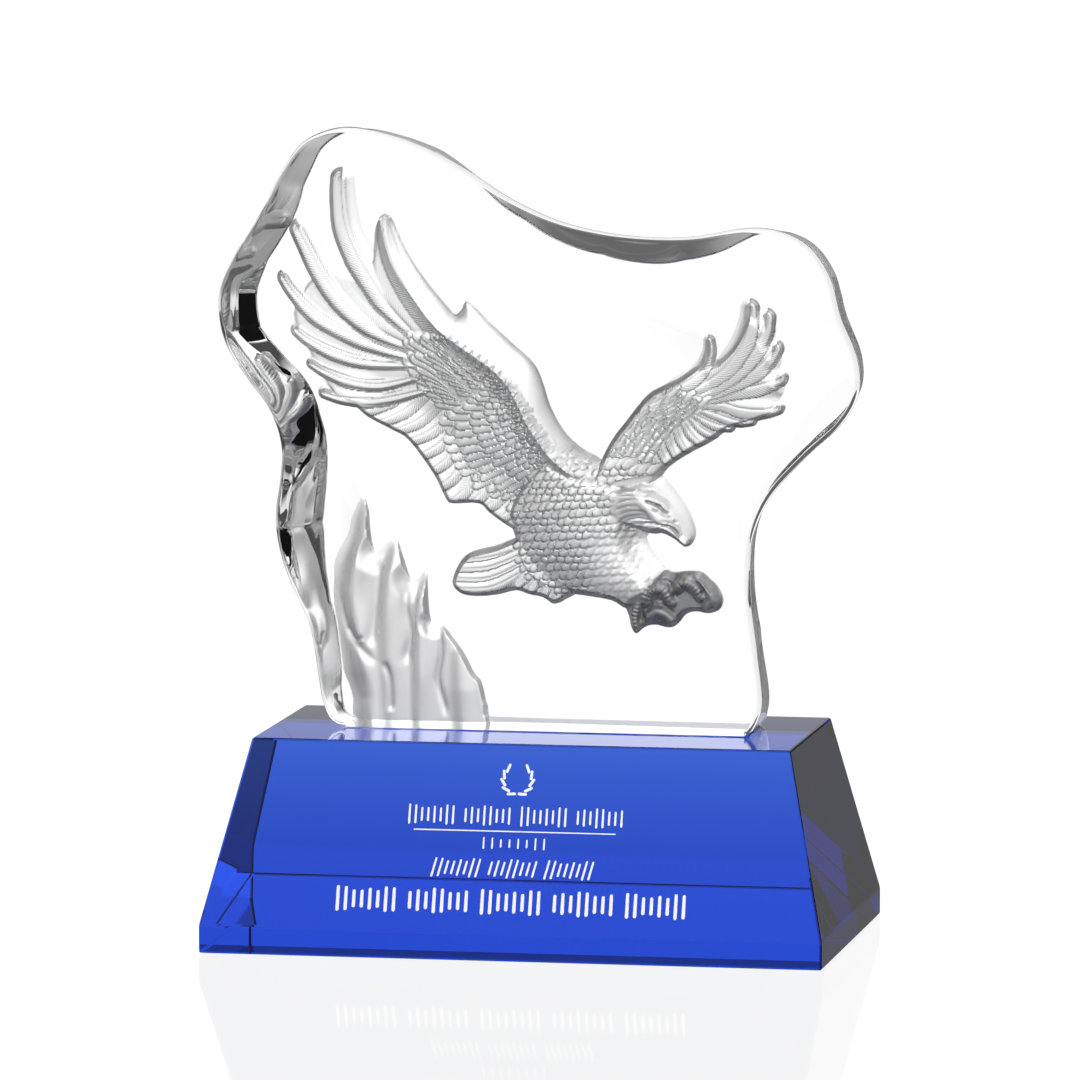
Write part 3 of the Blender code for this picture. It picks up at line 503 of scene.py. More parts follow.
def hump(x, z, points, half_widths, heights, power=1.0):
    """A long rounded form, highest on its centre line."""
    distance, _, share = nearest(x, z, spline(points))
    across = np.clip(distance / spread(share, half_widths), 0, 1)
    return spread(share, heights) * np.cos(pi / 2 * across) ** power


def flight_feather(x, z, points, half_widths, tip, root, upper=1):
    """A vane highest along its lower edge, that falls away to the edge the next feather lies over."""
    distance, side, share = nearest(x, z, spline(points, 4))
    half = spread(share, half_widths)
    across = upper * side * distance / half
    fall = TIP_FALL + (ROOT_FALL - TIP_FALL) * share
    vane = (tip + (root - tip) * share) * (1 - fall * ease((across + 0.6) / 1.5))
    return carve(half - distance, vane, np.where(across > 0, 0.9 * half, FEATHER_WALL))


def left_wing(x, z):
    to_ridge, side, share = nearest(x, z, spline(ARM_RIDGE))
    to_lead = nearest(x, z, spline(LEADING_EDGE))[0]
    to_trail = nearest(x, z, spline(TRAILING_EDGE))[0]
    ridge = spread(share, ARM_HEIGHTS)
    smooth_band = ridge * (to_lead / (to_lead + to_ridge + 1e-6)) ** 0.7
    vanes = VANE_HEIGHT + (ridge - VANE_HEIGHT) * ease(to_trail / (to_trail + to_ridge + 1e-6))
    vanes -= RIDGE_DROP * (1 - np.exp(-to_ridge / 1.6)) * ease(to_trail / 12)
    loop = LEADING_EDGE + [(22.0, 70.0), (15.0, 58.0), (0.0, 55.0)] + TRAILING_EDGE + TIP_NOTCHES
    inside = depth_inside(x, z, loop)
    band = np.where(inside > 0, smooth_band, np.maximum(inside, OUTSIDE))
    return np.where(side > 0, band, carve_lit(x, z, loop, vanes, WING_WALLS))


def right_wing(x, z):
    return carve_lit(x, z, RIGHT_WING, ARM_DEPTH + hump(x, z, RIGHT_ARM, *RIGHT_ARM_RISE), ARM_WALLS)


def body(x, z):
    return carve_lit(x, z, BODY, BODY_DEPTH + hump(x, z, BREAST, *BREAST_RISE), BODY_WALLS)


def head(x, z):
    return carve_lit(x, z, HEAD, HEAD_DEPTH + hump(x, z, NECK, *NECK_RISE), HEAD_WALLS)


def tail(x, z):
    return carve_lit(x, z, TAIL, TAIL_DEPTH, TAIL_WALLS)


def feet(x, z):
    toes = [hump(x, z, points, half_widths, heights, 0.8) for points, half_widths, heights in TOES]
    return carve_lit(x, z, FEET, FEET_DEPTH + np.max(toes, axis=0), FEET_WALLS)


def crag(x, z):
    ridges = [hump(x, z, points, half_widths, heights, 2.0) for points, half_widths, heights in CRAG_RIDGES]
    return carve_lit(x, z, CRAG, CRAG_DEPTH + np.sum(ridges, axis=0), CRAG_WALLS)


class Carving:
    """Maps over the slab's back: the forms' depth, the feathers' relief on them, the run of their barbs,
    and the shade painted on them.
    """

    def __init__(self):
        self.columns = round((FIELD_RIGHT - FIELD_LEFT) / CELL)
        self.rows = round((FIELD_TOP - FIELD_FOOT) / CELL)
        self.x, self.z = np.meshgrid(np.linspace(FIELD_LEFT, FIELD_RIGHT, self.columns + 1),
                                     np.linspace(FIELD_FOOT, FIELD_TOP, self.rows + 1))
        self.form = np.full(self.x.shape, OUTSIDE)
        self.relief = np.zeros(self.x.shape)
        self.plume = np.zeros(self.x.shape + (3,))
        self.shade_marks = np.zeros(self.x.shape + (3,))

    def window(self, points, margin):
        """The part of the maps around some points."""
        low = np.min(points, axis=0) - margin
        high = np.max(points, axis=0) + margin
        columns = np.searchsorted(self.x[0], (low[0], high[0]))
        rows = np.searchsorted(self.z[:, 0], (low[1], high[1]))
        return slice(*rows), slice(*columns)

    def around(self, points, margin):
        """The part of the maps around a path, and each point's distance, side and share on the path."""
        path = spline(points, 4)
        area = self.window(path, margin)
        return area, along(path)[-1], *nearest(self.x[area], self.z[area], path)

    def paint_line_shade(self, area, darkness):
        self.shade_marks[area][..., 0] = np.maximum(self.shade_marks[area][..., 0], darkness)

    def raise_form(self, points, form, *sizes):
        """Lets a form stand out wherever it is the highest."""
        area = self.window(points, 6)
        self.form[area] = np.maximum(self.form[area], form(self.x[area], self.z[area], *sizes))

    def lay_feather(self, points, half_widths, lift=0.4, crown=0.3, barbs=1.0, shaft=0.0, shade=0.0,
                    line=1.0, upper=0, fade=2.0):
        """Lays a feather over those below it. Its path runs from the tip to the root. The edge on its upper
        side, if it has one, lies flat and has no line of painted shade. That line runs out at the share
        fade, and shade paints the whole feather evenly darker."""
        area, length, distance, side, share = self.around(points, max(half_widths) + 0.6)
        half = spread(share, half_widths)
        inside = half - distance
        over = inside > 0
        up = ease(upper * side * distance / half * 1.4) if upper else np.zeros(distance.shape)
        bulge = crown * (1 - (distance / half) ** 2)
        groove = shaft * np.exp(-(distance / 0.3) ** 2)
        raised = (lift * (1 - share) * (1 - 0.7 * up) + bulge) * ease(inside / 0.5) - groove
        # Painted shade round the edge, where the feather lies over the one below, and a painted dark line
        # down the shaft
        edge = line * np.exp(-(inside / 0.26) ** 2) * (1 - 0.85 * up) * (1 - ease(share / fade))
        edge = np.maximum(edge, np.minimum(shaft * 3, 1) * np.exp(-(distance / 0.2) ** 2))
        # Barbs get painted shade, stronger towards the feather's edge and faint on its upper, lit side
        strength = barbs * ease(distance / 0.5) * (1 - 0.85 * up) * (0.5 + 0.5 * distance / half)
        plume = np.dstack([share * length, distance, strength])
        shade_marks = np.dstack([edge, np.full(edge.shape, shade), np.zeros(edge.shape)])
        self.relief[area] = np.where(over, raised, self.relief[area])
        self.plume[area] = np.where(over[..., None], plume, self.plume[area])
        self.shade_marks[area] = np.where(over[..., None], shade_marks, self.shade_marks[area])

    def score(self, points, width, depth, shade=0.5):
        """Cuts a groove that runs out at both ends, with shade painted along its bottom; with no depth it
        only paints a band of shade.
        """
        area, _, distance, _, share = self.around(points, 3 * width)
        line = np.exp(-(distance / width) ** 2) * ease(6 * np.minimum(share, 1 - share))
        self.relief[area] -= depth * line
        self.paint_line_shade(area, shade * line)

    def swell(self, points, half_width, height):
        """Raises a soft ridge that runs out at both ends."""
        area, _, distance, _, share = self.around(points, half_width)
        ends = ease(4 * np.minimum(share, 1 - share))
        self.relief[area] += height * ease(1 - distance / half_width) * ends

    def ripple(self, points, half_width, pitch, height):
        """Cross ridges along a toe, with shade painted in the hollows between them."""
        area, length, distance, _, share = self.around(points, half_width)
        rings = np.cos(2 * pi * share * length / pitch)
        within = ease(2 - 2 * distance / half_width) * ease(8 * np.minimum(share, 1 - share))
        self.relief[area] += height * rings * within
        self.paint_line_shade(area, 0.6 * within * ease(-rings))

    def bare(self, outline, left, shade=0.0):
        """Takes the feathers off a form, to the right of a place, and paints shade evenly over it."""
        area = self.window(outline, 1)
        x = self.x[area]
        bare = ease(depth_inside(x, self.z[area], outline) / 0.4) * ease((x - left) / 3)
        self.relief[area] *= 1 - bare
        self.plume[area][..., 2] *= 1 - bare
        self.shade_marks[area] *= (1 - bare)[..., None]
        self.shade_marks[area][..., 1] += shade * bare

    def paint_wall_shade(self):
        """Paints shade on steep walls, darker the steeper they are."""
        rise, run = np.gradient(self.depth(), CELL)
        steep = ease((np.hypot(run, rise) - WALL_SLOPES[0]) / (WALL_SLOPES[1] - WALL_SLOPES[0]))
        self.shade_marks[..., 1] += WALL_SHADE * steep

    def depth(self):
        """Depth of the cut at each point, in drawn millimetres."""
        return np.where(self.form > 0, self.form + self.relief * ease(self.form / 2.0), self.form)


def secondaries():
    """Flight feathers along the trailing edge, from the body up to the wing tip: path and half widths."""
    tips = spline(COVERT_TIPS)
    trailing = spline(TRAILING_EDGE)
    for share in np.linspace(0.12, 0.95, SECONDARIES):
        tip = point_at(trailing, share)[0]
        root = point_at(tips, 1.0 - 0.86 * share)[0]
        middle = (tip + root) / 2 + (tip - root)[::-1] * (-0.08, 0.08)
        yield [tip, middle, root], (2.2, 2.7, 2.6)


def carve_forms(carving):
    carving.raise_form(LEADING_EDGE + TRAILING_EDGE + TIP_NOTCHES + [(22.0, 70.0)], left_wing)
    for points, half_widths in LEFT_FEATHERS:
        carving.raise_form(points, flight_feather, points, half_widths, *LEFT_VANE)
    carving.raise_form(RIGHT_WING, right_wing)
    for points, half_widths in RIGHT_FEATHERS:
        carving.raise_form(points, flight_feather, points, half_widths, *RIGHT_VANE, -1)
    carving.raise_form(TAIL, tail)
    for outline, form in ((BODY, body), (HEAD, head), (FEET, feet), (CRAG, crag)):
        carving.raise_form(outline, form)


def lay_left_wing(carving):
    """Flight feathers, then the rows of coverts up to the ridge and the tufts across it."""
    ridge = spline(COVERT_RIDGE)
    tips = spline(COVERT_TIPS)
    for points, half_widths in secondaries():
        carving.lay_feather(points, half_widths, shaft=0.15, upper=1)
    for points, half_widths in LEFT_FEATHERS:
        carving.lay_feather(points, half_widths, lift=0.5, shaft=0.3, upper=1)
    carving.lay_feather(*THUMB_FEATHER, lift=0.5, shaft=0.3, upper=1)
    # A band of painted shade along the leading edge, with no groove
    carving.score(LEADING_EDGE, 1.6, 0.0, 0.45)
    for level, length, pitch in zip(COVERT_ROWS, COVERT_LENGTHS, COVERT_PITCHES):
        steps = np.linspace(0, 1, 40)
        row = point_at(ridge, steps) * (1 - level) + point_at(tips, steps) * level
        count = round(along(row)[-1] / pitch)
        # Rows close to the ridge get painted shade, where the wing turns away from the light
        dark = ease((0.32 - level) / 0.26)
        for step in range(count, -1, -1):
            share = step / count
            turn = spread(share, WING_TURN)
            tip = point_at(row, share)[0] + heading(turn) * (0.7 * sin(step * 2.4) + 0.8 * (step % 2))
            root = tip - heading(turn) * length * 1.9
            middle = tip - heading(turn + 7) * length * 0.8
            half = pitch * 0.74
            carving.lay_feather([tip, middle, root], (half * 0.9, half, half), lift=0.55, crown=0.15,
                                barbs=min(0.5, length / 12), shade=1.8 * dark, line=0.6, upper=1)
    for share in np.linspace(0.02, 0.97, TUFTS):
        place = point_at(ridge, share)[0]
        turn = spread(share, TUFT_TURN)
        tip = place + heading(turn) * 1.5
        root = place - heading(turn + 35) * 1.2
        carving.lay_feather([tip, place, root], (0.35, 0.7, 0.7), lift=0.5, crown=0.25, barbs=0, line=0.5)


def lay_right_wing(carving):
    for points, half_widths in RIGHT_FEATHERS:
        carving.lay_feather(points, half_widths, lift=0.4, shaft=0.25, upper=-1)
    ridge = spline(ARM_TUFT_RIDGE)
    foot = spline(ARM_TUFT_FOOT)
    for row in range(ARM_TUFT_ROWS):
        level = row / (ARM_TUFT_ROWS - 1)
        steps = np.linspace(0, 1, 20)
        line = point_at(foot, steps) * (1 - level) + point_at(ridge, steps) * level
        for share in np.linspace(0.98, 0.02, ARM_TUFTS):
            turn = spread(share, ARM_TUFT_TURN)
            tip = point_at(line, share)[0] + heading(turn) * sin(row * 2.1 + share * 40)
            root = tip - heading(turn) * 4.6
            # Painted shade grows row by row towards the ridge, the upper-left side that turns from the
            # light
            carving.lay_feather([tip, (tip + root) / 2, root], (0.9, 1.4, 1.4), lift=0.45, crown=0.2,
                                barbs=0.3, shade=0.1 + 0.25 * level, line=0.55, upper=-1)


def lay_scales(carving):
    """Small body feathers in offset rows, laid from the belly up to the neck."""
    inward = heading(SCALE_TURN)
    sideways = heading(SCALE_TURN - 90)
    row_pitch, pitch = SCALE_PITCHES
    for row in range(SCALE_ROWS, -SCALE_ROWS - 1, -1):
        for place in range(-SCALES_ASIDE, SCALES_ASIDE + 1):
            tip = BELLY + inward * row * row_pitch + sideways * (place + 0.5 * (row % 2)) * pitch
            tip = tip + (0.3 * sin(row * 3 + place), 0.3 * sin(place * 5 + row))
            if depth_inside(tip[:1], tip[1:], BODY)[0] < 0.4:
                continue
            leg = ease((tip[0] - 10) / 6) * ease((60 - tip[1]) / 8)
            size = 1 - 0.3 * leg
            root = tip - inward * 3.2 * size
            # Painted shade over the body, less on the leg, and a painted shadow darkening towards the
            # belly's lower edge
            carving.lay_feather([tip, (tip + root) / 2, root], (1.1 * size, 1.45 * size, 1.2 * size),
                                lift=0.4 - 0.25 * leg, crown=0.1, barbs=0.2,
                                shade=0.8 * (1 - leg) + 1.6 * ease((43 - tip[1]) / 7),
                                line=0.85 - 0.7 * leg, fade=0.6)


def lay_head(carving):
    """Long soft streaks back from the face over the neck, the brow, the eye and the beak."""
    # A band of painted shade along the leg's edge, with no groove
    carving.score(LEG_EDGE, 2.4, 0.0, 0.4)
    # The bare head gets light painted shade
    carving.bare(HEAD, FACE_LEFT, 0.5)
    for first, second in zip(STREAKS[:-1], STREAKS[1:]):
        for mix in (0, 0.33, 0.67):
            line = spline(first, 5)
            other = point_at(spline(second, 5), np.linspace(0, 1, len(line)))
            mixed = point_at(line, np.linspace(0, 1, len(line))) * (1 - mix) + other * mix
            carving.score(mixed[::4], 0.28, 0.25 if mix else 0.4, 0.45 if mix else 0.8)
    carving.swell(BROW, 1.6, 0.4)
    ring = [np.add(EYE, EYE_SIZE * heading(turn)) for turn in range(150, 520, 40)]
    carving.score(ring, 0.22, 0.35, 0.7)
    for line in HEAD_LINES:
        carving.score(*line)


def lay_tail(carving):
    for points, half_widths in TAIL_FEATHERS:
        carving.lay_feather(points, half_widths, lift=0.4, shaft=0.2, upper=1)


def lay_feet_and_crag(carving):
    # The bare feet get heavy painted shade, standing in for their dark look
    carving.bare(FEET, FEET_LEFT, 3.8)
    for points, half_width in TOE_ARCS:
        carving.ripple(points, half_width, TOE_RING_PITCH, TOE_RING_HEIGHT)
    for line in FOOT_LINES + CRAG_LINES:
        carving.score(*line)


def carve_eagle():
    carving = Carving()
    carve_forms(carving)
    lay_left_wing(carving)
    lay_right_wing(carving)
    lay_tail(carving)
    lay_scales(carving)
    lay_head(carving)
    lay_feet_and_crag(carving)
    carving.paint_wall_shade()
    return carving


# The crystal slab

def drawn_outline():
    drawn = spline(OUTLINE, OUTLINE_STEPS, closed=True)
    drawn[:, 1:] = np.maximum(drawn[:, 1:], 0)
    return drawn


def drawn_middle():
    drawn = drawn_outline()
    return (drawn[:, 0].min() + drawn[:, 0].max()) / 2


def chips(run, depth, inset):
    """Shallow hollows struck into the side wall, with crests between them."""
    rng = np.random.default_rng(11)
    length = run[-1]
    count = int(length / CHIP_SIZE)
    seeds = []
    for column in range(count):
        place = (column + 0.3 + 0.5 * rng.random()) * length / count
        seeds.append((place, CHIP_REACH * rng.uniform(0.3, 0.9)))
    seeds = np.array(seeds)
    gap = np.abs(run[:, None] - seeds[None, :, 0])
    gap = np.minimum(gap, length - gap)
    far = np.sort(np.hypot(gap, 0.5 * (depth - seeds[None, :, 1])), axis=1)
    return CHIP_DEPTH * (1 - (far[:, 0] / far[:, 1]) ** 2) * np.clip(inset / 6, 0, 1)


def slab_sections(thickness):
    """Sections of the slab from the front to the back: a depth and a closed outline for each, in mm."""
    drawn = drawn_outline()
    outline = drawn[:, :2] - (drawn_middle(), 0)
    inset = drawn[:, 2]
    tangent = np.roll(outline, -1, axis=0) - np.roll(outline, 1, axis=0)
    inward = np.column_stack([-tangent[:, 1], tangent[:, 0]])
    inward /= np.linalg.norm(inward, axis=1)[:, None]
    inward[drawn[:, 1] == 0] = 0
    run = along(np.vstack([outline, outline[:1]]))[:-1]
    sections = []
    for turn in np.linspace(0, pi / 2, EDGE_STEPS + 1):
        sections.append((SLAB_EDGE * (1 - cos(turn)), outline + inward * SLAB_EDGE * (1 - sin(turn))))
    for share in np.linspace(0, 1, WALL_STEPS + 1)[1:]:
        depth = SLAB_EDGE + (thickness - BACK_EDGE - SLAB_EDGE) * share
        hollow = chips(run, depth, inset) * min(1, 4 * share)
        sections.append((depth, outline + inward * (inset * share + hollow)[:, None]))
    back = sections[-1][1]
    for turn in np.linspace(0, pi / 2, 4)[1:]:
        shrunk = back + inward * BACK_EDGE * (1 - cos(turn))
        sections.append((thickness - BACK_EDGE * (1 - sin(turn)), shrunk))
    return sections


def verts_among(items):
    return [item for item in items if isinstance(item, bmesh.types.BMVert)]


def new_piece(name, bm, *materials):
    """An object from a bmesh, at the origin, with its materials."""
    mesh = bpy.data.meshes.new(name)
    bm.to_mesh(mesh)
    bm.free()
    for material in materials:
        mesh.materials.append(material)
    piece = bpy.data.objects.new(name, mesh)
    bpy.context.scene.collection.objects.link(piece)
    return piece


def draw_section(verts, section, scale, front, foot):
    depth, outline = section
    for vert, (x, z) in zip(verts, outline * scale):
        vert.co = (x, front + depth * MM, foot + z)


def model_slab(low, high, scale, polished, frosted):
    """Sections joined from front to back and capped."""
    sections = slab_sections((high.y - low.y) / MM)
    bm = bmesh.new()
    ring = bmesh.ops.create_circle(bm, segments=len(sections[0][1]), cap_ends=False)["verts"]
    draw_section(ring, sections[0], scale, low.y, low.z)
    front_edges = list(bm.edges)
    edges = front_edges
    for section in sections[1:]:
        grown = bmesh.ops.extrude_edge_only(bm, edges=edges)["geom"]
        new_verts = set(verts_among(grown))
        edges = [item for item in grown if isinstance(item, bmesh.types.BMEdge)]
        ring = [next(other for other in (edge.other_vert(vert) for edge in vert.link_edges)
                     if other in new_verts) for vert in ring]
        draw_section(ring, section, scale, low.y, low.z)
    bmesh.ops.edgeloop_fill(bm, edges=front_edges)
    bmesh.ops.edgeloop_fill(bm, edges=edges)
    bmesh.ops.recalc_face_normals(bm, faces=bm.faces)
    return new_piece("carved_slab", bm, polished, frosted)


def widen_corners(bm):
    """Cells that meet only at a corner would pinch the solid, so one of each such pair goes."""
    pinched = True
    while pinched:
        pinched = [vert for vert in bm.verts if len([e for e in vert.link_edges if e.is_boundary]) > 2]
        cells = list(dict.fromkeys(vert.link_faces[0] for vert in pinched))
        bmesh.ops.delete(bm, geom=cells, context="FACES")


def model_cutter(carving, scale, back, foot, frosted):
    """A grid moved in to the carving's depth, without its empty cells, made solid."""
    bm = bmesh.new()
    bmesh.ops.create_grid(bm, x_segments=carving.columns, y_segments=carving.rows, size=0.5)
    depth = carving.depth() * scale
    left = (FIELD_LEFT - drawn_middle()) * scale
    step = CELL * scale
    places = []
    for vert in bm.verts:
        column = round((vert.co.x + 0.5) * carving.columns)
        row = round((vert.co.y + 0.5) * carving.rows)
        places.append(depth[row, column])
        vert.co = (left + column * step, back - depth[row, column], foot + FIELD_FOOT * scale + row * step)
    bm.verts.index_update()
    rim = OUTSIDE * scale * 0.999
    empty = [face for face in bm.faces if all(places[vert.index] <= rim for vert in face.verts)]
    bmesh.ops.delete(bm, geom=empty, context="FACES")
    widen_corners(bm)
    grown = bmesh.ops.extrude_face_region(bm, geom=list(bm.faces))["geom"]
    for vert in verts_among(grown):
        vert.co.y = back + CUTTER_BACK * MM
    bmesh.ops.recalc_face_normals(bm, faces=bm.faces)
    return new_piece("carving_cutter", bm, frosted)


def read_map(values, column, row):
    """Values of a map between its points."""
    c0 = np.clip(column.astype(int), 0, values.shape[1] - 2)
    r0 = np.clip(row.astype(int), 0, values.shape[0] - 2)
    c, r = (column - c0)[:, None], (row - r0)[:, None]
    values = values.reshape(values.shape[0], values.shape[1], -1)
    return ((values[r0, c0] * (1 - c) + values[r0, c0 + 1] * c) * (1 - r)
            + (values[r0 + 1, c0] * (1 - c) + values[r0 + 1, c0 + 1] * c) * r)


def carve_slab(polished, frosted):
    low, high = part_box("slab")
    scale = (high.z - low.z) / DRAWN_HEIGHT
    carving = carve_eagle()
    slab = model_slab(low, high, scale, polished, frosted)
    cutter = model_cutter(carving, scale, high.y, low.z, frosted)
    cut = slab.modifiers.new("carving", "BOOLEAN")
    cut.operation = "DIFFERENCE"
    cut.solver = "EXACT"
    cut.material_mode = "TRANSFER"
    cut.object = cutter
    seen = slab.evaluated_get(bpy.context.evaluated_depsgraph_get())
    mesh = bpy.data.meshes.new_from_object(seen)
    mesh.name = "carved slab"
    slab.modifiers.clear()
    slab.data = mesh
    bpy.data.objects.remove(cutter)
    write_barbs_and_shade(mesh, carving, scale, low.z)
    mesh.shade_smooth()
    mesh.set_sharp_from_angle(angle=radians(38))
    return slab


def write_barbs_and_shade(mesh, carving, scale, foot):
    """Puts the maps of the carving on the points of the cut."""
    place = np.empty(len(mesh.vertices) * 3)
    mesh.vertices.foreach_get("co", place)
    place = place.reshape(-1, 3)
    column = (place[:, 0] / scale + drawn_middle() - FIELD_LEFT) / CELL
    row = ((place[:, 2] - foot) / scale - FIELD_FOOT) / CELL
    for name, values in (("plume", carving.plume), ("shade_marks", carving.shade_marks)):
        attribute = mesh.attributes.new(name, "FLOAT_VECTOR", "POINT")
        attribute.data.foreach_set("vector", read_map(values, column, row).ravel())


# Materials

def new_material(name):
    material = bpy.data.materials.new(name)
    material.use_nodes = True
    return material, material.node_tree, material.node_tree.nodes["Principled BSDF"]


def node(tree, kind, **settings):
    made = tree.nodes.new(kind)
    for name, value in settings.items():
        setattr(made, name, value)
    return made


def work_out(tree, operation, first, second=None, third=None, clamp=False):
    """The output of a Math node on sockets or plain numbers."""
    made = node(tree, "ShaderNodeMath", operation=operation, use_clamp=clamp)
    for socket, value in zip(made.inputs, (first, second, third)):
        if value is None:
            continue
        if isinstance(value, (int, float)):
            socket.default_value = value
        else:
            tree.links.new(value, socket)
    return made.outputs[0]


def polished_crystal(name):
    material, tree, shader = new_material(name)
    shader.inputs["Base Color"].default_value = (1.0, 1.0, 1.0, 1.0)
    shader.inputs["Roughness"].default_value = 0.0
    shader.inputs["IOR"].default_value = CRYSTAL_IOR
    shader.inputs["Transmission Weight"].default_value = 1.0
    return material


def blue_crystal():
    """Blue crystal, coloured through its depth."""
    material = polished_crystal("blue crystal")
    tree = material.node_tree
    depth = node(tree, "ShaderNodeVolumeAbsorption")
    depth.inputs["Color"].default_value = BLUE
    depth.inputs["Density"].default_value = BLUE_DENSITY
    tree.links.new(depth.outputs[0], tree.nodes["Material Output"].inputs["Volume"])
    return material


def etched_frost():
    """Etched crystal inside the carving: pale, with shade painted into its lines, barbs, steep walls and
    shaded forms, and grain that varies at random.
    """
    material, tree, shader = new_material("etched frost")
    links = tree.links
    calc = partial(work_out, tree)
    plume = node(tree, "ShaderNodeAttribute", attribute_name="plume")
    shade_marks = node(tree, "ShaderNodeAttribute", attribute_name="shade_marks")
    run = node(tree, "ShaderNodeSeparateXYZ")
    shade_mark = node(tree, "ShaderNodeSeparateXYZ")
    links.new(plume.outputs["Vector"], run.inputs[0])
    links.new(shade_marks.outputs["Vector"], shade_mark.inputs[0])
    place = node(tree, "ShaderNodeTexCoord")
    grain = node(tree, "ShaderNodeTexNoise")
    grain.inputs["Scale"].default_value = GRAIN_SCALE
    grain.inputs["Detail"].default_value = 3.0
    links.new(place.outputs["Object"], grain.inputs["Vector"])
    wander = node(tree, "ShaderNodeTexNoise")
    wander.inputs["Scale"].default_value = WANDER_SCALE
    links.new(place.outputs["Object"], wander.inputs["Vector"])
    slant = calc("ADD", run.outputs[0], calc("MULTIPLY", run.outputs[1], BARB_SLANT))
    slant = calc("ADD", slant, calc("MULTIPLY", wander.outputs[0], BARB_WANDER))
    wave = calc("SINE", calc("MULTIPLY", slant, 2 * pi / BARB_PITCH))
    barb = calc("MULTIPLY", calc("MULTIPLY_ADD", wave, 0.5, 0.5), run.outputs[2])
    # Painted shade from the barbs, the lines and the broad shade, plus grain that varies at random
    dark = calc("MULTIPLY", barb, BARB_SHADE)
    dark = calc("ADD", dark, calc("MULTIPLY", shade_mark.outputs[0], LINE_SHADE))
    dark = calc("ADD", dark, calc("MULTIPLY", shade_mark.outputs[1], BROAD_SHADE))
    grit = calc("MULTIPLY", calc("SUBTRACT", grain.outputs[0], 0.5), GRIT)
    dark = calc("ADD", dark, grit, clamp=True)
    colour = node(tree, "ShaderNodeMix", data_type="RGBA")
    colour.inputs["A"].default_value = FROST_PALE
    colour.inputs["B"].default_value = FROST_DARK
    links.new(dark, colour.inputs["Factor"])
    links.new(colour.outputs["Result"], shader.inputs["Base Color"])
    rough = calc("MULTIPLY", grain.outputs[0], GRAIN_RISE)
    height = calc("SUBTRACT", rough, calc("MULTIPLY", barb, BARB_RISE))
    bump = node(tree, "ShaderNodeBump")
    bump.inputs["Strength"].default_value = RISE_STRENGTH
    bump.inputs["Distance"].default_value = RISE_HEIGHT
    links.new(height, bump.inputs["Height"])
    links.new(bump.outputs[0], shader.inputs["Normal"])
    shader.inputs["Roughness"].default_value = FROST_ROUGHNESS
    shader.inputs["IOR"].default_value = CRYSTAL_IOR
    shader.inputs["Transmission Weight"].default_value = FROST_CLEARNESS
    return material


def silver_fill():
    material, tree, shader = new_material("silver fill")
    shader.inputs["Base Color"].default_value = SILVER
    shader.inputs["Roughness"].default_value = SILVER_ROUGHNESS
    shader.inputs["Metallic"].default_value = SILVER_METAL
    return material


# Strokes on the base's face

def add_stroke(bm, x, z, width, height, slant):
    """A flat bar with round ends, lying in the XZ plane."""
    disc = bmesh.ops.create_circle(bm, cap_ends=True, segments=12, radius=width / 2)["verts"]
    for vert in disc:
        vert.co.y += (height - width) / 2 * (1 if vert.co.y > 0 else -1)
    bmesh.ops.rotate(bm, verts=disc, matrix=Matrix.Rotation(radians(-slant), 3, "Z"))
    bmesh.ops.translate(bm, verts=disc, vec=(x, z, 0))


def make_strokes(base, material):
    bm = bmesh.new()
    for z, width, height, pitch, slant, thickness in STROKE_ROWS:
        count = WORD * round(width / pitch / WORD) - 1
        for step in range(count):
            if step % WORD == WORD - 1:
                continue
            size = height * STROKE_HEIGHTS[(step * 5) % 6]
            add_stroke(bm, (step / (count - 1) - 0.5) * (width - thickness), z, thickness, size, slant)
    z, width, thickness = RULE
    add_stroke(bm, 0, z, thickness, width, 90.0)
    middle, radius, length, thickness, count = WREATH
    for turn in np.linspace(*WREATH_TURNS, count):
        out, up = radius * sin(radians(turn)), -radius * cos(radians(turn))
        for side in (-1, 1):
            add_stroke(bm, side * out, middle + up, thickness, length, side * (WREATH_LEAN - turn))
    raised = bmesh.ops.extrude_face_region(bm, geom=list(bm.faces))["geom"]
    bmesh.ops.translate(bm, verts=verts_among(raised), vec=(0, 0, STROKE_RISE))
    bmesh.ops.recalc_face_normals(bm, faces=bm.faces)
    sloping = [face for face in base.data.polygons if face.normal.y < -0.5 and face.normal.z > 0.1]
    front = max(sloping, key=lambda face: face.area)
    for vert in bm.verts:
        x, z, rise = vert.co * MM
        y = front.center.y - (z - front.center.z) * front.normal.z / front.normal.y
        vert.co = (x, y - STROKE_GAP * MM - rise, z)
    return new_piece("inscription_strokes", bm, material)


# Studio

def clear_view(tree, sky=0):
    """One where the camera looks at a place directly, or straight through a polished piece. The ray
    depth counts one more in the world than on a surface, so sky is 1 there."""
    path = node(tree, "ShaderNodeLightPath")
    calc = partial(work_out, tree)
    sharp = calc("MULTIPLY", path.outputs["Is Singular Ray"], path.outputs["Is Transmission Ray"])
    shallow = calc("LESS_THAN", path.outputs["Ray Depth"], 2.5 + sky)
    through = calc("MULTIPLY", sharp, shallow)
    return calc("MAXIMUM", path.outputs["Is Camera Ray"], through)


def first_mirror(tree, sky=0):
    """One where a polished face mirrors a place straight back to the camera."""
    path = node(tree, "ShaderNodeLightPath")
    calc = partial(work_out, tree)
    first = calc("LESS_THAN", path.outputs["Ray Depth"], 1.5 + sky)
    mirror = calc("MULTIPLY", first, path.outputs["Is Reflection Ray"])
    return calc("MULTIPLY", mirror, path.outputs["Is Singular Ray"])


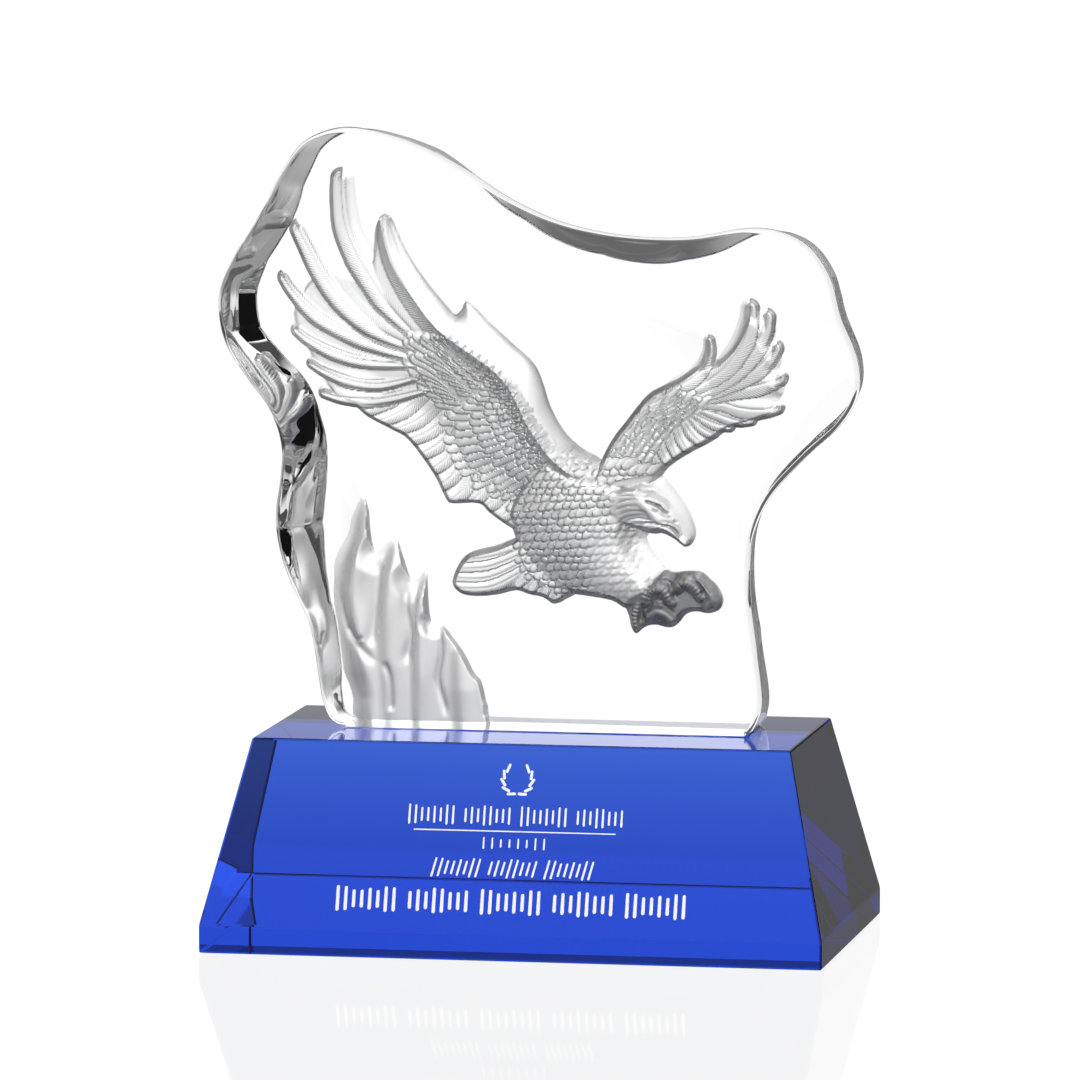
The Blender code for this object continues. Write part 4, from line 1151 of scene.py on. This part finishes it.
def blend_values(tree, factor, low, high):
    """A mix of two values, each a socket or a plain number."""
    mix = node(tree, "ShaderNodeMix", data_type="FLOAT")
    for socket, value in ((mix.inputs[0], factor), (mix.inputs[2], low), (mix.inputs[3], high)):
        if isinstance(value, (int, float)):
            socket.default_value = value
        else:
            tree.links.new(value, socket)
    return mix.outputs[0]


def soft_step(tree, value, low, high):
    """Rises smoothly from 0 at low to 1 at high."""
    step = node(tree, "ShaderNodeMapRange", interpolation_type="SMOOTHSTEP")
    step.inputs["From Min"].default_value = low
    step.inputs["From Max"].default_value = high
    tree.links.new(value, step.inputs["Value"])
    return step.outputs[0]


def make_floor():
    bm = bmesh.new()
    bmesh.ops.create_circle(bm, cap_ends=True, segments=96, radius=FLOOR_RADIUS)
    bmesh.ops.translate(bm, verts=bm.verts, vec=(0, 0, -FLOOR_GAP))
    material, tree, shader = new_material("studio floor")
    tree.nodes.remove(shader)
    place = node(tree, "ShaderNodeTexCoord")
    reach = node(tree, "ShaderNodeVectorMath", operation="LENGTH")
    tree.links.new(place.outputs["Object"], reach.inputs[0])
    # The floor glows dimly near the piece for all but camera rays, a painted contact shadow, and dimmer
    # still where a polished face mirrors it
    lit = blend_values(tree, soft_step(tree, reach.outputs["Value"], *FLOOR_EDGE), *FLOOR_LIGHTS)
    lit = blend_values(tree, first_mirror(tree), lit, MIRRORED_FLOOR)
    glow = node(tree, "ShaderNodeEmission")
    tree.links.new(blend_values(tree, clear_view(tree), lit, 1.0), glow.inputs["Strength"])
    sheen = node(tree, "ShaderNodeBsdfGlossy")
    sheen.inputs["Roughness"].default_value = FLOOR_ROUGHNESS
    mix = node(tree, "ShaderNodeMixShader")
    mix.inputs["Fac"].default_value = FLOOR_SHEEN
    tree.links.new(glow.outputs[0], mix.inputs[1])
    tree.links.new(sheen.outputs[0], mix.inputs[2])
    tree.links.new(mix.outputs[0], tree.nodes["Material Output"].inputs["Surface"])
    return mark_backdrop(new_piece("studio_floor", bm, material))


def light_studio():
    """White at eye level where the crystal is looked through. The frost and the inner faces are lit by a
    soft key from the upper right and by pale sheets in front and behind, with dark cards at both sides.
    The polished faces mirror a dim sheet at the back."""
    world = bpy.data.worlds.new("studio")
    bpy.context.scene.world = world
    world.use_nodes = True
    tree = world.node_tree
    links = tree.links
    calc = partial(work_out, tree)
    blend = partial(blend_values, tree)
    step = partial(soft_step, tree)
    direction = node(tree, "ShaderNodeTexCoord")
    axis = node(tree, "ShaderNodeSeparateXYZ")
    links.new(direction.outputs["Generated"], axis.inputs[0])
    x, y, z = axis.outputs
    facing = calc("ABSOLUTE", y)
    sheets = blend(step(facing, *SHEET_EDGE), FILL_LIGHT, SHEET_LIGHT)
    beside = calc("ABSOLUTE", x)
    sheets = blend(step(beside, *SIDE_EDGE), sheets, SIDE_LIGHT)
    toward = calc("MULTIPLY", x, KEY_AXIS[0])
    toward = calc("MULTIPLY_ADD", facing, KEY_AXIS[1], toward)
    toward = calc("MULTIPLY_ADD", z, KEY_AXIS[2], toward)
    above = calc("MULTIPLY", step(z, *KEY_FOOT), KEY_LIGHT)
    key = calc("MULTIPLY", step(toward, *KEY_EDGE), above)
    top = blend(step(z, *TOP_EDGE), 0.0, TOP_LIGHT)
    lights = calc("ADD", sheets, calc("MAXIMUM", key, top))
    low = calc("SUBTRACT", 1.0, step(y, *MIRRORED_FOOT))
    off_sheet = calc("MAXIMUM", step(x, *MIRRORED_SIDE), low)
    dim = blend(step(y, *MIRRORED_TURN), MIRRORED_FRONT, MIRRORED_BACK)
    mirrored = blend(off_sheet, MIRRORED_SHEET, dim)
    path = node(tree, "ShaderNodeLightPath")
    sharp = blend(path.outputs["Is Singular Ray"], 1.0, POLISHED_SHARE)
    lights = calc("MULTIPLY", lights, sharp)
    shown = blend(first_mirror(tree, 1), lights, mirrored)
    far_end = calc("SUBTRACT", 1.0, step(beside, *CARD_FAR))
    strip = calc("MULTIPLY", step(beside, *CARD_NEAR), far_end)
    strip = calc("MAXIMUM", strip, step(z, *CARD_TOP))
    horizon = blend(strip, CLEAR_LIGHT, CARD_LIGHT)
    seen = calc("MAXIMUM", horizon, path.outputs["Is Camera Ray"])
    background = tree.nodes["Background"]
    background.inputs["Color"].default_value = (1, 1, 1, 1)
    links.new(blend(clear_view(tree, 1), shown, seen), background.inputs["Strength"])


def place_camera():
    data = bpy.data.cameras.new("camera")
    data.lens = CAMERA_LENS
    data.sensor_width = SENSOR
    camera = bpy.data.objects.new("camera", data)
    a, e = radians(CAMERA_AZIMUTH), radians(CAMERA_ELEVATION)
    away = Vector((sin(a) * cos(e), -cos(a) * cos(e), sin(e)))
    camera.location = CAMERA_TARGET + CAMERA_DISTANCE * away
    camera.rotation_euler = away.to_track_quat("Z", "Y").to_euler()
    bpy.context.scene.collection.objects.link(camera)
    bpy.context.scene.camera = camera


def main():
    scene = bpy.context.scene
    scene.view_settings.view_transform = "Standard"
    place_camera()
    light_studio()
    make_floor()
    polished = polished_crystal("clear crystal")
    frosted = etched_frost()
    slab = carve_slab(polished, frosted)
    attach(slab, "root")
    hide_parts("slab")
    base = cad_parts["base"]
    base.data.materials.clear()
    base.data.materials.append(blue_crystal())
    strokes = make_strokes(base, silver_fill())
    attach(strokes, "root")


main()
